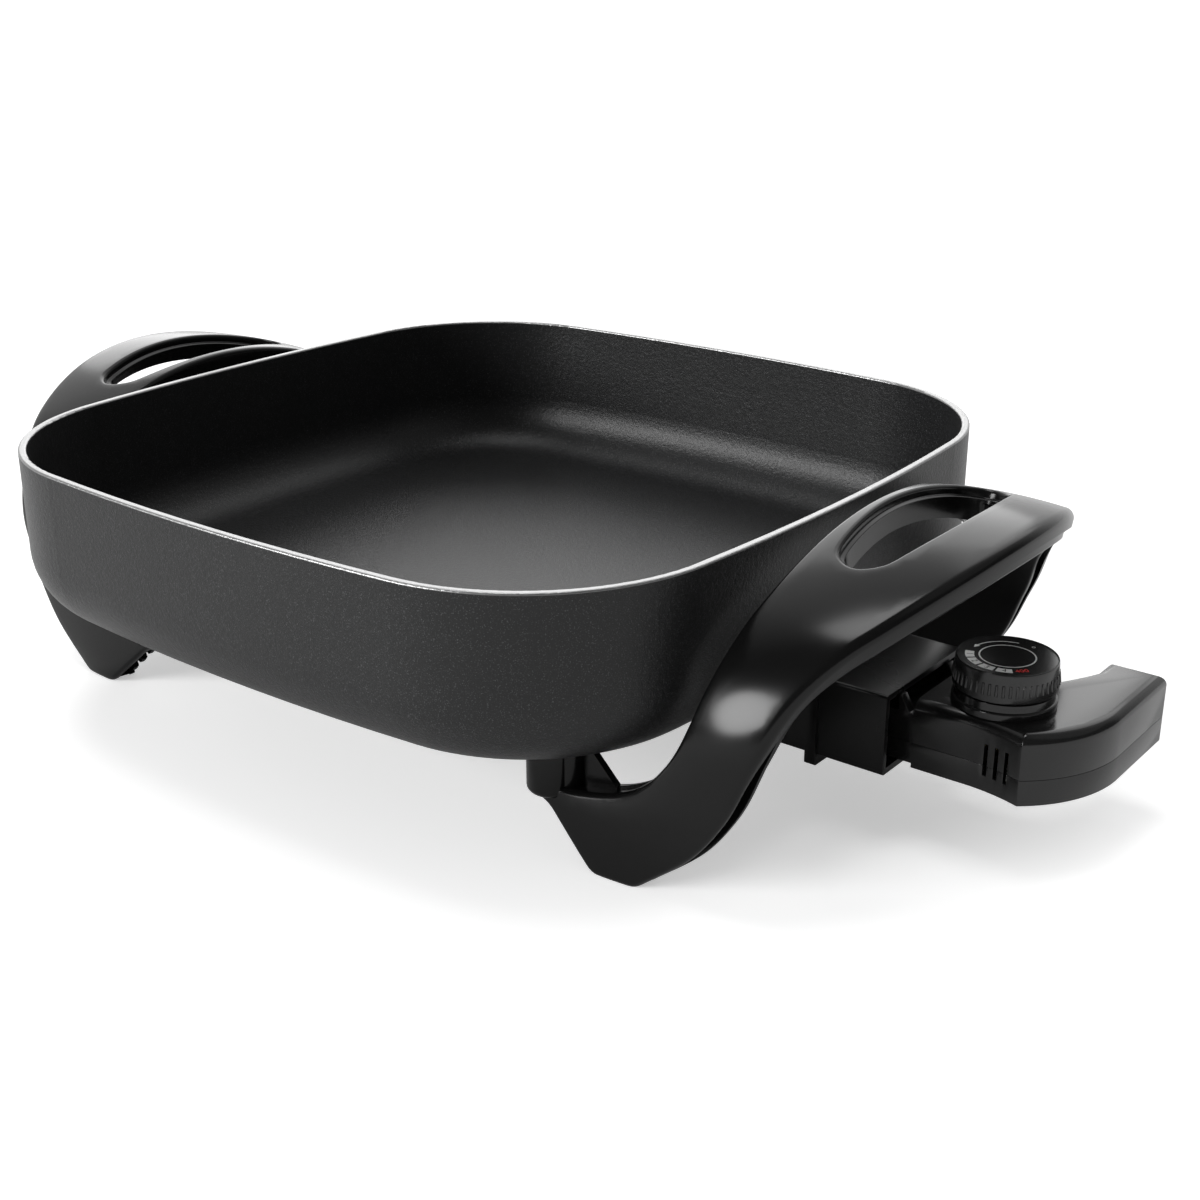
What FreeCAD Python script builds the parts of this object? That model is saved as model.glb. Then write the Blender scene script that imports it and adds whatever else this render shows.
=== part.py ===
import FreeCAD, Part
import math
import os

V = FreeCAD.Vector

# Square electric skillet with two leg handles, a terminal guard and a plug-in heat control.
# Millimetres. Z is up from the worktop, X runs from the left handle to the heat control.

# Pan
PAN_WIDTH = 305.0
RIM_HEIGHT = 106.0
PAN_DEPTH = 63.0
PAN_WALL = 3.0
PAN_FLOOR = 4.0
PAN_CORNER_RADIUS = 74.0
PAN_SIDE_RADIUS = 950.0
PAN_BOTTOM_RADIUS = 25.0
RIM_ROUND = 0.8
PAN_UNDERSIDE = RIM_HEIGHT - PAN_DEPTH

# Heating element pressed into a cast ridge under the pan
ELEMENT_DROP = 5.5
ELEMENT_RADIUS = 3.5
ELEMENT_LOOP_RADIUS = 80.0
ELEMENT_BEND_RADIUS = 18.0
ELEMENT_END_X = 148.0
ELEMENT_CLEARANCE = 0.05
RIDGE_HALF_WIDTH = 5.5
PLUG_AXIS_Z = PAN_UNDERSIDE - ELEMENT_DROP
PIN_SPACING = 23.0
PIN_RADIUS = 2.2
PIN_END_X = 184.0
INSULATOR_RADIUS = 4.2
INSULATOR_LENGTH = 8.0

# Probe receiver cast under the pan
RECEIVER_START_X = 104.0
RECEIVER_END_X = 147.0
RECEIVER_HALF_WIDTH = 6.5
RECEIVER_DROP = 11.5
PROBE_RADIUS = 3.0
PROBE_CLEARANCE = 0.3
PROBE_TIP_X = 115.0
PROBE_TIP_GAP = 3.0

# Leg handles
ARCH_RISE = 4.6
ARCH_CROWN_RADIUS = 155.0
ARCH_SHOULDER_HALF_WIDTH = 70.0
ARCH_SHOULDER_RADIUS = 54.0
LEG_LEAN = 5.0
GRIP_REACH = 219.5
GRIP_PLAN_RADIUS = 150.0
SKIN = 3.0
BAND_THICKNESS = 12.0
GROOVE_DEPTH = 12.0
WEB_THICKNESS = 9.0
RIB_THICKNESS = 2.4
RIB_PITCH = 15.0
RIB_START_X = 113.0
POCKET_TOP_Z = 58.0
FOOT_INNER_X = 122.6
FOOT_OUTER_X = 138.9
FOOT_TOE = (97.5, 16.5)
FOOT_TOE_END = (94.6, 20.3)
FOOT_TOE_TOP = (102.0, 24.0)

# Finger slot in the grip
SLOT_INNER_X = 167.5
SLOT_OUTER_X = 197.0
SLOT_HALF_LENGTH = 48.5
SLOT_INNER_BOW = 3.5
SLOT_OUTER_BOW = 6.0
SLOT_END_SHARE = 0.8
SLOT_LEDGE = 1.4
SLOT_LEDGE_DEPTH = 4.0

# Handle bosses and screws
HANDLE_BOSS_X = 104.0
HANDLE_BOSS_Y = 92.0
HANDLE_BOSS_RADIUS = 7.0
PAN_BOSS_HEIGHT = 6.0
HANDLE_BOSS_FOOT_Z = 18.0
SCREW_RADIUS = 2.0
SCREW_HEAD_RADIUS = 3.8
SCREW_HEAD_HEIGHT = 2.4
SCREW_CLEARANCE = 0.3
SCREW_BITE = 6.0
SCREW_RECESS = 5.0
SCREW_SLOT_WIDTH = 1.0
SCREW_SLOT_DEPTH = 1.2

# Terminal guard
GUARD_START_X = 112.0
GUARD_SHELL_X = 128.0
GUARD_FACE_X = 184.0
GUARD_HALF_WIDTH = 26.0
GUARD_BOTTOM_Z = 23.0
GUARD_TOP_Z = 52.0
GUARD_WALL = 2.2
GUARD_RIB_X = 157.0
GUARD_RIB_WIDTH = 4.0
GUARD_RIB_HEIGHT = 3.5
GUARD_PAN_GAP = 0.3
GUARD_EDGE_ROUND = 1.2
GUARD_BOSS_X = 120.0
GUARD_BOSS_Y = 22.0
GUARD_BOSS_RADIUS = 4.0

# Heat control case
NECK_START_X = 174.0
NECK_END_X = 190.0
NECK_HALF_WIDTH = 18.0
NECK_BOTTOM_Z = 26.6
NECK_TOP_Z = 44.5
CASE_BOTTOM_Z = 25.0
CASE_SEAM_Z = 34.0
CASE_TOP_Z = 49.5
CASE_WALL = 2.2
CASE_TOP_ROUND = 4.0
CASE_BOTTOM_ROUND = 1.2
CASE_CORNER = (229.5, -21.5)
CASE_FLARE_X = 206.0
CASE_NOSE = (243.3, -4.0)
CASE_SIDE = (247.5, 14.0)
CASE_ARM_X = 226.8
CASE_ARM_END_Y = 52.5
CASE_BACK_X = 208.0
CASE_BACK_ELBOW = (222.0, 31.5)
CHEEK_LENGTH = 4.0
CHEEK_HEIGHT = 5.5
CHEEK_WIDTH = 3.5
VENT_START_X = 216.2
VENT_PITCH = 3.9
VENT_COUNT = 3
VENT_WIDTH = 1.4
VENT_LOW_Z = 30.5
VENT_HIGH_Z = 41.5
CASE_SCREW_PLACES = ((197.0, -12.3), (197.0, 12.3), (237.0, 33.0))
CASE_POST_RADIUS = 3.0
CASE_SCREW_RADIUS = 1.3
CASE_SCREW_HEAD_RADIUS = 2.4
CASE_SCREW_RECESS = 3.0

# Terminal block, contact sleeves and switch inside the heat control
BLOCK_START_X = 176.0
BLOCK_LENGTH = 8.0
SLEEVE_WALL = 0.8
SLEEVE_CLEARANCE = 0.3
SLEEVE_LENGTH = 13.0
PROBE_FLANGE_RADIUS = 4.5
PROBE_FLANGE_THICKNESS = 1.5
FRAME_THICKNESS = 1.4
FRAME_HALF_WIDTH = 8.0
FRAME_END_X = 226.0
FRAME_BASE_Z = 29.0
BLADE_THICKNESS = 0.5
BLADE_WIDTH = 6.0
BLADE_START_X = 192.0
BLADE_LENGTH = 30.0
BLADE_GAP = 3.0
SPACER_LENGTH = 7.0
CONTACT_RADIUS = 1.8
CONTACT_INSET = 3.0

# Dial
DIAL_X = 212.6
DIAL_RADIUS = 17.5
DIAL_TOP_Z = 65.4
DIAL_SKIRT_HEIGHT = 10.2
DIAL_WALL = 2.0
DIAL_RIB_COUNT = 48
DIAL_RIB_DEPTH = 0.6
DIAL_RIM_HEIGHT = 2.0
DIAL_HUB_RADIUS = 5.0
FACE_RADIUS = 15.4
FACE_THICKNESS = 0.8
COLLAR_RADIUS = 17.1
COLLAR_UPPER_RADIUS = 16.4
COLLAR_STEP = 2.6
COLLAR_HOLE_RADIUS = 8.0
DIAL_GAP = 0.5
SHAFT_RADIUS = 2.5
SHAFT_CLEARANCE = 0.05
SHAFT_FOOT_Z = 39.0
BUSHING_RADIUS = 4.6
BUSHING_DROP = 4.0
BUSHING_RISE = 2.4

# Cord inlet bushing in the end of the arm
INLET_RADIUS = 3.4
INLET_COLLAR_RADIUS = 6.2
INLET_SLEEVE_RADIUS = 5.0
INLET_COLLAR_LENGTH = 2.0
INLET_LENGTH = 9.0


def box(x0, x1, y0, y1, z0, z1):
    """Box between two corners."""
    return Part.makeBox(x1 - x0, y1 - y0, z1 - z0, V(x0, y0, z0))


def rod(radius, start, axis, length):
    """Round bar from a start point along an axis."""
    return Part.makeCylinder(radius, length, start, axis)


def arc(start, middle, end):
    """Edge of an arc through three points."""
    return Part.Arc(start, middle, end).toShape()


def line(start, end):
    """Straight edge between two points."""
    return Part.LineSegment(start, end).toShape()


def prism(edges, direction):
    """Solid swept straight from a closed outline."""
    wire = Part.Wire(Part.__sortEdges__(edges))
    return Part.Face(wire).extrude(direction)


def mirrored_y(shape):
    """Copy of a shape on the other side of the XZ plane."""
    return shape.mirror(V(0, 0, 0), V(0, 1, 0))


def both_sides(shape):
    """A shape and its mirror image across the XZ plane."""
    return [shape, mirrored_y(shape)]


def corner_centre():
    """Distance of the corner arc's centre from both mid planes."""
    side_centre = PAN_WIDTH / 2 - PAN_SIDE_RADIUS
    reach = PAN_SIDE_RADIUS - PAN_CORNER_RADIUS
    return (side_centre + math.sqrt(2 * reach ** 2 - side_centre ** 2)) / 2


def pan_outline(inset, z):
    """Rounded square with bowed sides, drawn inwards by an inset."""
    centre = corner_centre()
    side_radius = PAN_SIDE_RADIUS - inset
    side_centre = PAN_WIDTH / 2 - PAN_SIDE_RADIUS
    turn = math.asin(centre / (PAN_SIDE_RADIUS - PAN_CORNER_RADIUS))
    edges = []
    for quarter in range(4):
        spin = FreeCAD.Rotation(V(0, 0, 1), 90 * quarter)
        ends = [V(side_centre + side_radius * math.cos(a), side_radius * math.sin(a), z)
                for a in (-turn, 0, turn)]
        ends = [spin.multVec(point) for point in ends]
        edges.append(arc(*ends))
        corner_radius = PAN_CORNER_RADIUS - inset
        bend = [V(centre + corner_radius * math.cos(a), centre + corner_radius * math.sin(a), z)
                for a in (turn, math.pi / 4, math.pi / 2 - turn)]
        bend = [spin.multVec(point) for point in bend]
        edges.append(arc(*bend))
    return edges


def pan_block(inset, bottom, top):
    """Solid of the pan's outline with a rounded bottom edge."""
    block = prism(pan_outline(inset, bottom), V(0, 0, top - bottom))
    lower = [e for e in block.Edges if abs(e.BoundBox.ZMax - bottom) < 0.01]
    return block.makeFillet(PAN_BOTTOM_RADIUS - inset, lower)


def element_path():
    """Centre line of the horseshoe element, from one terminal round to the other."""
    leg = PIN_SPACING / 2
    bend_y = leg + ELEMENT_BEND_RADIUS
    reach = ELEMENT_LOOP_RADIUS + ELEMENT_BEND_RADIUS
    bend_x = math.sqrt(reach ** 2 - bend_y ** 2)
    turn = math.atan2(bend_y, bend_x)
    half = (turn - math.pi / 2) / 2
    z = PLUG_AXIS_Z
    centre = V(bend_x, bend_y, z)
    on_leg = V(bend_x, leg, z)
    on_bend = centre + V(math.sin(half), -math.cos(half), 0) * ELEMENT_BEND_RADIUS
    on_loop = V(math.cos(turn), math.sin(turn), 0) * ELEMENT_LOOP_RADIUS + V(0, 0, z)
    far = V(-ELEMENT_LOOP_RADIUS, 0, z)
    flip = [V(p.x, -p.y, p.z) for p in (on_leg, on_bend, on_loop)]
    edges = [line(V(ELEMENT_END_X, leg, z), on_leg)]
    edges.append(arc(on_leg, on_bend, on_loop))
    edges.append(arc(on_loop, far, flip[2]))
    edges.append(arc(flip[2], flip[1], flip[0]))
    edges.append(line(flip[0], V(ELEMENT_END_X, -leg, z)))
    return Part.Wire(edges)


def element_tube(radius):
    """Round tube along the element's path."""
    start = V(ELEMENT_END_X, PIN_SPACING / 2, PLUG_AXIS_Z)
    ring = Part.Wire(Part.makeCircle(radius, start, V(1, 0, 0)))
    return element_path().makePipeShell([ring], True, True)


def element_ridge():
    """Cast ridge that carries the element, up to the pan's underside."""
    start = V(ELEMENT_END_X, PIN_SPACING / 2, PLUG_AXIS_Z)
    corners = [V(0, -RIDGE_HALF_WIDTH, 0), V(0, RIDGE_HALF_WIDTH, 0),
               V(0, RIDGE_HALF_WIDTH, ELEMENT_DROP + 1), V(0, -RIDGE_HALF_WIDTH, ELEMENT_DROP + 1)]
    corners = [start + c for c in corners]
    section = Part.makePolygon(corners + corners[:1])
    ridge = element_path().makePipeShell([section], True, True)
    return ridge.common(box(-200, RECEIVER_END_X, -200, 200, 0, RIM_HEIGHT))


def handle_boss_places():
    """Centres of the four handle bosses in plan."""
    return [(sx * HANDLE_BOSS_X, sy * HANDLE_BOSS_Y) for sx in (-1, 1) for sy in (-1, 1)]


def guard_boss_places():
    """Centres of the two guard bosses in plan."""
    return [(GUARD_BOSS_X, sy * GUARD_BOSS_Y) for sy in (-1, 1)]


def pan():
    """Cast pan with its bosses, element ridge and probe receiver."""
    body = pan_block(0, PAN_UNDERSIDE, RIM_HEIGHT)
    root = PAN_UNDERSIDE + PAN_FLOOR / 2
    for places, radius in ((handle_boss_places(), HANDLE_BOSS_RADIUS),
                           (guard_boss_places(), GUARD_BOSS_RADIUS)):
        for x, y in places:
            boss = rod(radius, V(x, y, PAN_UNDERSIDE - PAN_BOSS_HEIGHT), V(0, 0, 1),
                       PAN_BOSS_HEIGHT + PAN_FLOOR / 2)
            body = body.fuse(boss)
    receiver = box(RECEIVER_START_X, RECEIVER_END_X, -RECEIVER_HALF_WIDTH, RECEIVER_HALF_WIDTH,
                   PAN_UNDERSIDE - RECEIVER_DROP, root)
    low_edges = [e for e in receiver.Edges
                 if e.BoundBox.ZMax < PAN_UNDERSIDE - RECEIVER_DROP + 0.01 and e.BoundBox.YLength < 1]
    receiver = receiver.makeFillet(2.5, low_edges)
    body = body.fuse([receiver, element_ridge()])
    cavity = pan_block(PAN_WALL, PAN_UNDERSIDE + PAN_FLOOR, RIM_HEIGHT + 20)
    bore = rod(PROBE_RADIUS + PROBE_CLEARANCE, V(PROBE_TIP_X - PROBE_TIP_GAP, 0, PLUG_AXIS_Z),
               V(1, 0, 0), 60)
    body = body.cut([cavity, element_tube(ELEMENT_RADIUS + ELEMENT_CLEARANCE), bore])
    for x, y in handle_boss_places() + guard_boss_places():
        body = body.cut(rod(SCREW_RADIUS, V(x, y, 0), V(0, 0, 1),
                            PAN_UNDERSIDE - PAN_BOSS_HEIGHT + SCREW_BITE + 0.5))
    rim = [e for e in body.Edges if abs(e.BoundBox.ZMin - RIM_HEIGHT) < 0.01]
    return body.makeFillet(RIM_ROUND, rim)


def heating_element():
    """Sheathed horseshoe element."""
    return element_tube(ELEMENT_RADIUS)


def element_insulators():
    """Ceramic beads on the element's ends."""
    start = V(ELEMENT_END_X, PIN_SPACING / 2, PLUG_AXIS_Z)
    bead = rod(INSULATOR_RADIUS, start, V(1, 0, 0), INSULATOR_LENGTH)
    bead = bead.cut(rod(PIN_RADIUS, start, V(1, 0, 0), INSULATOR_LENGTH))
    return Part.makeCompound(both_sides(bead))


def terminal_pins():
    """Two round-ended pins that the heat control's sleeves slide over."""
    start = V(ELEMENT_END_X, PIN_SPACING / 2, PLUG_AXIS_Z)
    pin = rod(PIN_RADIUS, start, V(1, 0, 0), PIN_END_X - ELEMENT_END_X)
    tip = [e for e in pin.Edges if e.BoundBox.XMin > PIN_END_X - 0.01]
    pin = pin.makeFillet(PIN_RADIUS * 0.6, tip)
    return Part.makeCompound(both_sides(pin))


def arch_prism(inset):
    """Space under the handle's arch, drawn inwards by an inset and swept along X."""
    crown = ARCH_CROWN_RADIUS - inset
    shoulder = ARCH_SHOULDER_RADIUS - inset
    crown_z = RIM_HEIGHT + ARCH_RISE - ARCH_CROWN_RADIUS
    turn = math.asin(ARCH_SHOULDER_HALF_WIDTH / ARCH_CROWN_RADIUS)
    steep = math.radians(90 - LEG_LEAN)
    middle = (turn + steep) / 2
    step = ARCH_CROWN_RADIUS - ARCH_SHOULDER_RADIUS
    hub = V(0, step * math.sin(turn), crown_z + step * math.cos(turn))

    def on_shoulder(angle):
        return hub + V(0, math.sin(angle), math.cos(angle)) * shoulder

    start = V(0, crown * math.sin(turn), crown_z + crown * math.cos(turn))
    knee = on_shoulder(steep)
    depth = knee.z + 10
    foot = knee + V(0, math.cos(steep), -math.sin(steep)) * (depth / math.sin(steep))
    right = [start, on_shoulder(middle), knee, foot]
    left = [V(p.x, -p.y, p.z) for p in right]
    edges = [arc(left[0], V(0, 0, crown_z + crown), right[0])]
    for side in (left, right):
        edges.append(arc(side[0], side[1], side[2]))
        edges.append(line(side[2], side[3]))
    edges.append(line(left[3], right[3]))
    return prism(edges, V(GRIP_REACH + 30, 0, 0))


def arch_band(outer_inset, inner_inset):
    """Layer of the arch between two insets."""
    return arch_prism(outer_inset).cut(arch_prism(inner_inset))


def outer_edge_points():
    """Side view of the leg's outer edge, from the foot up to the grip."""
    return [(FOOT_OUTER_X, 0), (158.9, 16.7), (169.0, 30.5), (177.3, 48.3),
            (185.5, 65.0), (197.0, 84.0), (212.0, 100.0), (234.0, 116.0)]


def inner_edge_points():
    """Side view of the leg's pan-side edge, from the grip down to the toe."""
    return [(163.2, 116.0), (161.4, 95.4), (158.5, 77.9), (154.2, 58.0),
            (146.6, 43.2), (134.0, 31.8), (118.0, 26.6), FOOT_TOE_TOP]


def side_curve(points, shift):
    """Smooth side-view edge, moved along X."""
    curve = Part.BSplineCurve()
    curve.interpolate([V(x + shift, -200, z) for x, z in points])
    return curve.toShape()


def side_point(point, shift=0.0):
    """Point of the side view on the outline's plane."""
    return V(point[0] + shift, -200, point[1])


def leg_silhouette(outer_shift, inner_shift):
    """S-shaped side view of a leg and grip, swept across the handle and bowed in plan."""
    outer = outer_edge_points()
    inner = inner_edge_points()
    toe = side_point(FOOT_TOE, inner_shift)
    foot = side_point((FOOT_INNER_X, 0), inner_shift)
    edges = [side_curve(outer, -outer_shift), side_curve(inner, inner_shift)]
    edges.append(line(side_point(outer[-1], -outer_shift), side_point(inner[0], inner_shift)))
    edges.append(arc(side_point(FOOT_TOE_TOP, inner_shift), side_point(FOOT_TOE_END, inner_shift), toe))
    edges.append(line(toe, foot))
    edges.append(line(foot, side_point((FOOT_OUTER_X, 0), -outer_shift)))
    side = prism(edges, V(0, 400, 0))
    radius = GRIP_PLAN_RADIUS - outer_shift
    plan = rod(radius, V(GRIP_REACH - GRIP_PLAN_RADIUS, 0, -1), V(0, 0, 1), 200)
    return side.common(plan)


def slot_prism(inset, low, high):
    """Finger slot between two heights, drawn inwards by an inset."""
    inner = SLOT_INNER_X + inset
    outer = SLOT_OUTER_X - inset
    shoulder = SLOT_HALF_LENGTH * SLOT_END_SHARE - inset / 2
    end = SLOT_HALF_LENGTH - inset
    pan_side = V(inner + SLOT_INNER_BOW, shoulder, low)
    far_side = V(outer - SLOT_OUTER_BOW, shoulder, low)
    tip = V((pan_side.x + far_side.x) / 2, end, low)
    flip = [V(p.x, -p.y, p.z) for p in (pan_side, tip, far_side)]
    edges = [arc(flip[0], V(inner, 0, low), pan_side)]
    edges.append(arc(pan_side, tip, far_side))
    edges.append(arc(far_side, V(outer, 0, low), flip[2]))
    edges.append(arc(flip[2], flip[1], flip[0]))
    return prism(edges, V(0, 0, high - low))


def foot_pocket():
    """Hollow on the pan side of each leg, between the two skins."""
    pocket = arch_band(SKIN, BAND_THICKNESS - SKIN)
    pocket = pocket.common(leg_silhouette(GROOVE_DEPTH + WEB_THICKNESS, -6.0))
    return pocket.common(box(0, 300, -200, 200, SKIN, POCKET_TOP_Z))


def pocket_ribs(pocket):
    """Cross ribs that tie the two skins inside the pocket."""
    span = FOOT_OUTER_X + RIB_PITCH - RIB_START_X
    count = int(span // RIB_PITCH) + 1
    plates = []
    for index in range(count):
        x = RIB_START_X + index * RIB_PITCH
        plates.append(box(x, x + RIB_THICKNESS, -200, 200, 0, POCKET_TOP_Z))
    return pocket.common(Part.makeCompound(plates))


def right_handle():
    """Leg handle: two skins joined by a web, a slotted grip and two screw bosses."""
    whole = leg_silhouette(0, 0)
    front = arch_band(0, SKIN).common(whole)
    back = arch_band(BAND_THICKNESS - SKIN, BAND_THICKNESS).common(leg_silhouette(0.8, 0))
    core = arch_band(SKIN, BAND_THICKNESS - SKIN).common(leg_silhouette(GROOVE_DEPTH, 0))
    pocket = foot_pocket()
    core = core.cut(pocket)
    ribs = pocket_ribs(pocket).common(whole)
    body = front.fuse([back, core, ribs])
    top = PAN_UNDERSIDE - PAN_BOSS_HEIGHT
    inner_face = HANDLE_BOSS_Y + SCREW_RADIUS
    for side in (-1, 1):
        boss = rod(HANDLE_BOSS_RADIUS, V(HANDLE_BOSS_X, side * HANDLE_BOSS_Y, HANDLE_BOSS_FOOT_Z),
                   V(0, 0, 1), top - HANDLE_BOSS_FOOT_Z)
        gusset = box(HANDLE_BOSS_X, HANDLE_BOSS_X + 26, min(side * inner_face, side * 97),
                     max(side * inner_face, side * 97), HANDLE_BOSS_FOOT_Z, top)
        trim = leg_silhouette(0, 0).fuse(box(0, HANDLE_BOSS_X + 14, -200, 200, 0, top))
        body = body.fuse([boss, gusset.common(trim)])
    outside = arch_prism(0)
    body = body.common(outside)
    crown = RIM_HEIGHT + ARCH_RISE
    ledge_z = crown - SLOT_LEDGE_DEPTH
    body = body.cut([slot_prism(0, ledge_z, crown + 5), slot_prism(SLOT_LEDGE, 60, crown)])
    for side in (-1, 1):
        place = V(HANDLE_BOSS_X, side * HANDLE_BOSS_Y, 0)
        hole = rod(SCREW_RADIUS + SCREW_CLEARANCE, place, V(0, 0, 1), top + 1)
        recess = rod(SCREW_HEAD_RADIUS + SCREW_CLEARANCE, place, V(0, 0, 1),
                     HANDLE_BOSS_FOOT_Z + SCREW_RECESS)
        body = body.cut([hole, recess])
    return body.removeSplitter()


def left_handle():
    """Mirror image of the right handle."""
    return right_handle().mirror(V(0, 0, 0), V(1, 0, 0))


def screw(place, head_z, tip_z, radius=SCREW_RADIUS, head_radius=SCREW_HEAD_RADIUS):
    """Slotted pan-head screw that points up, with its head's seat at a height."""
    x, y = place
    shank = rod(radius, V(x, y, head_z), V(0, 0, 1), tip_z - head_z)
    head = rod(head_radius, V(x, y, head_z - SCREW_HEAD_HEIGHT), V(0, 0, 1), SCREW_HEAD_HEIGHT)
    low = [e for e in head.Edges if e.BoundBox.ZMax < head_z - SCREW_HEAD_HEIGHT + 0.01]
    head = head.makeFillet(SCREW_HEAD_HEIGHT * 0.4, low)
    slot = box(x - head_radius, x + head_radius, y - SCREW_SLOT_WIDTH / 2, y + SCREW_SLOT_WIDTH / 2,
               head_z - SCREW_HEAD_HEIGHT, head_z - SCREW_HEAD_HEIGHT + SCREW_SLOT_DEPTH)
    return shank.fuse(head).cut(slot)


def handle_screws():
    """Four screws that hold the handles to the pan's bosses."""
    seat = HANDLE_BOSS_FOOT_Z + SCREW_RECESS
    tip = PAN_UNDERSIDE - PAN_BOSS_HEIGHT + SCREW_BITE
    return Part.makeCompound([screw(place, seat, tip) for place in handle_boss_places()])


def terminal_guard():
    """Guard box round the pins, open to the heat control, with a raised rib."""
    outer = box(GUARD_SHELL_X, GUARD_FACE_X, -GUARD_HALF_WIDTH, GUARD_HALF_WIDTH,
                GUARD_BOTTOM_Z, GUARD_TOP_Z)
    long_edges = [e for e in outer.Edges if e.BoundBox.XLength > 1]
    outer = outer.makeFillet(GUARD_EDGE_ROUND, long_edges)
    inner_width = GUARD_HALF_WIDTH - GUARD_WALL
    inner = box(GUARD_SHELL_X - 1, GUARD_FACE_X + 1, -inner_width, inner_width,
                GUARD_BOTTOM_Z + GUARD_WALL, GUARD_TOP_Z - GUARD_WALL)
    rib = box(GUARD_RIB_X - GUARD_RIB_WIDTH / 2, GUARD_RIB_X + GUARD_RIB_WIDTH / 2,
              -GUARD_HALF_WIDTH - 1.5, GUARD_HALF_WIDTH + 1.5,
              GUARD_BOTTOM_Z - GUARD_RIB_HEIGHT, GUARD_TOP_Z)
    rib_edges = [e for e in rib.Edges if e.BoundBox.XLength > 1]
    rib = rib.makeFillet(GUARD_EDGE_ROUND, rib_edges)
    tongue = box(GUARD_START_X, GUARD_SHELL_X + 1, -GUARD_HALF_WIDTH, GUARD_HALF_WIDTH,
                 GUARD_BOTTOM_Z, GUARD_BOTTOM_Z + GUARD_WALL)
    shell = outer.fuse([rib, tongue]).cut(inner)
    top = PAN_UNDERSIDE - PAN_BOSS_HEIGHT
    for x, y in guard_boss_places():
        shell = shell.fuse(rod(GUARD_BOSS_RADIUS, V(x, y, GUARD_BOTTOM_Z), V(0, 0, 1),
                               top - GUARD_BOTTOM_Z))
    shell = shell.cut(pan_block(-GUARD_PAN_GAP, PAN_UNDERSIDE - GUARD_PAN_GAP, RIM_HEIGHT))
    for x, y in guard_boss_places():
        hole = rod(SCREW_RADIUS + SCREW_CLEARANCE, V(x, y, 0), V(0, 0, 1), top + 1)
        recess = rod(GUARD_BOSS_RADIUS - 0.6, V(x, y, 0), V(0, 0, 1), GUARD_BOTTOM_Z + 3)
        shell = shell.cut([hole, recess])
    return shell.removeSplitter()


def guard_screws():
    """Two screws that hold the guard to the pan's bosses."""
    seat = GUARD_BOTTOM_Z + 3
    tip = PAN_UNDERSIDE - PAN_BOSS_HEIGHT + SCREW_BITE
    head = GUARD_BOSS_RADIUS - 0.6 - SCREW_CLEARANCE
    return Part.makeCompound([screw(place, seat, tip, SCREW_RADIUS, head) for place in guard_boss_places()])


def case_outline(inset, z):
    """Plan of the heat control beyond its neck: flared front, bulging end and hooked arm."""
    side = NECK_HALF_WIDTH - inset
    corner = V(CASE_CORNER[0] - inset * 0.6, CASE_CORNER[1] + inset * 1.6, z)
    flare_start = V(CASE_FLARE_X, -side, z)
    flare = V((CASE_FLARE_X + CASE_CORNER[0]) / 2, -side - 0.6, z)
    nose = V(CASE_NOSE[0] - inset * 0.8, CASE_NOSE[1] + inset * 0.6, z)
    side_point_end = V(CASE_SIDE[0] - inset, CASE_SIDE[1], z)
    arm_end = CASE_ARM_END_Y - inset
    arm_out = V(CASE_SIDE[0] - inset, arm_end, z)
    arm_in = V(CASE_ARM_X + inset, arm_end, z)
    elbow_top = V(CASE_ARM_X + inset, CASE_BACK_ELBOW[1] + 10, z)
    elbow = V(CASE_BACK_ELBOW[0] + inset * 0.7, CASE_BACK_ELBOW[1] - inset * 0.7, z)
    back_low = V(CASE_BACK_X, side, z)
    back_bend = V(CASE_BACK_X + 8, side + 4, z)
    start_low = V(NECK_END_X + inset, -side, z)
    start_high = V(NECK_END_X + inset, side, z)
    edges = [line(start_low, flare_start), arc(flare_start, flare, corner)]
    edges.append(arc(corner, nose, side_point_end))
    edges.append(line(side_point_end, arm_out))
    edges.append(line(arm_out, arm_in))
    edges.append(line(arm_in, elbow_top))
    edges.append(arc(elbow_top, elbow, back_bend))
    edges.append(line(back_bend, back_low))
    edges.append(line(back_low, start_high))
    edges.append(line(start_high, start_low))
    return edges


def case_block():
    """Outer form of the heat control, neck included."""
    height = CASE_TOP_Z - CASE_BOTTOM_Z
    body = prism(case_outline(0, CASE_BOTTOM_Z), V(0, 0, height))
    top = [e for e in body.Edges if e.BoundBox.ZMin > CASE_TOP_Z - 0.01 and e.BoundBox.XMax > NECK_END_X + 1]
    body = body.makeFillet(CASE_TOP_ROUND, top)
    neck = box(NECK_START_X, NECK_END_X + 8, -NECK_HALF_WIDTH, NECK_HALF_WIDTH,
               NECK_BOTTOM_Z, NECK_TOP_Z)
    cheek = case_cheek()
    return body.fuse([neck] + both_sides(cheek))


def case_cheek():
    """Sloping cheek beside the neck's saddle, against the guard."""
    x = GUARD_FACE_X + SHAFT_CLEARANCE * 4
    z = NECK_TOP_Z
    points = [V(x, NECK_HALF_WIDTH - CHEEK_WIDTH, z - 1), V(x + CHEEK_LENGTH, NECK_HALF_WIDTH - CHEEK_WIDTH, z - 1),
              V(x + CHEEK_LENGTH, NECK_HALF_WIDTH - CHEEK_WIDTH, z),
              V(x + 1, NECK_HALF_WIDTH - CHEEK_WIDTH, z + CHEEK_HEIGHT),
              V(x, NECK_HALF_WIDTH - CHEEK_WIDTH, z + CHEEK_HEIGHT)]
    face = Part.Face(Part.makePolygon(points + points[:1]))
    return face.extrude(V(0, CHEEK_WIDTH, 0))


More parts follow.
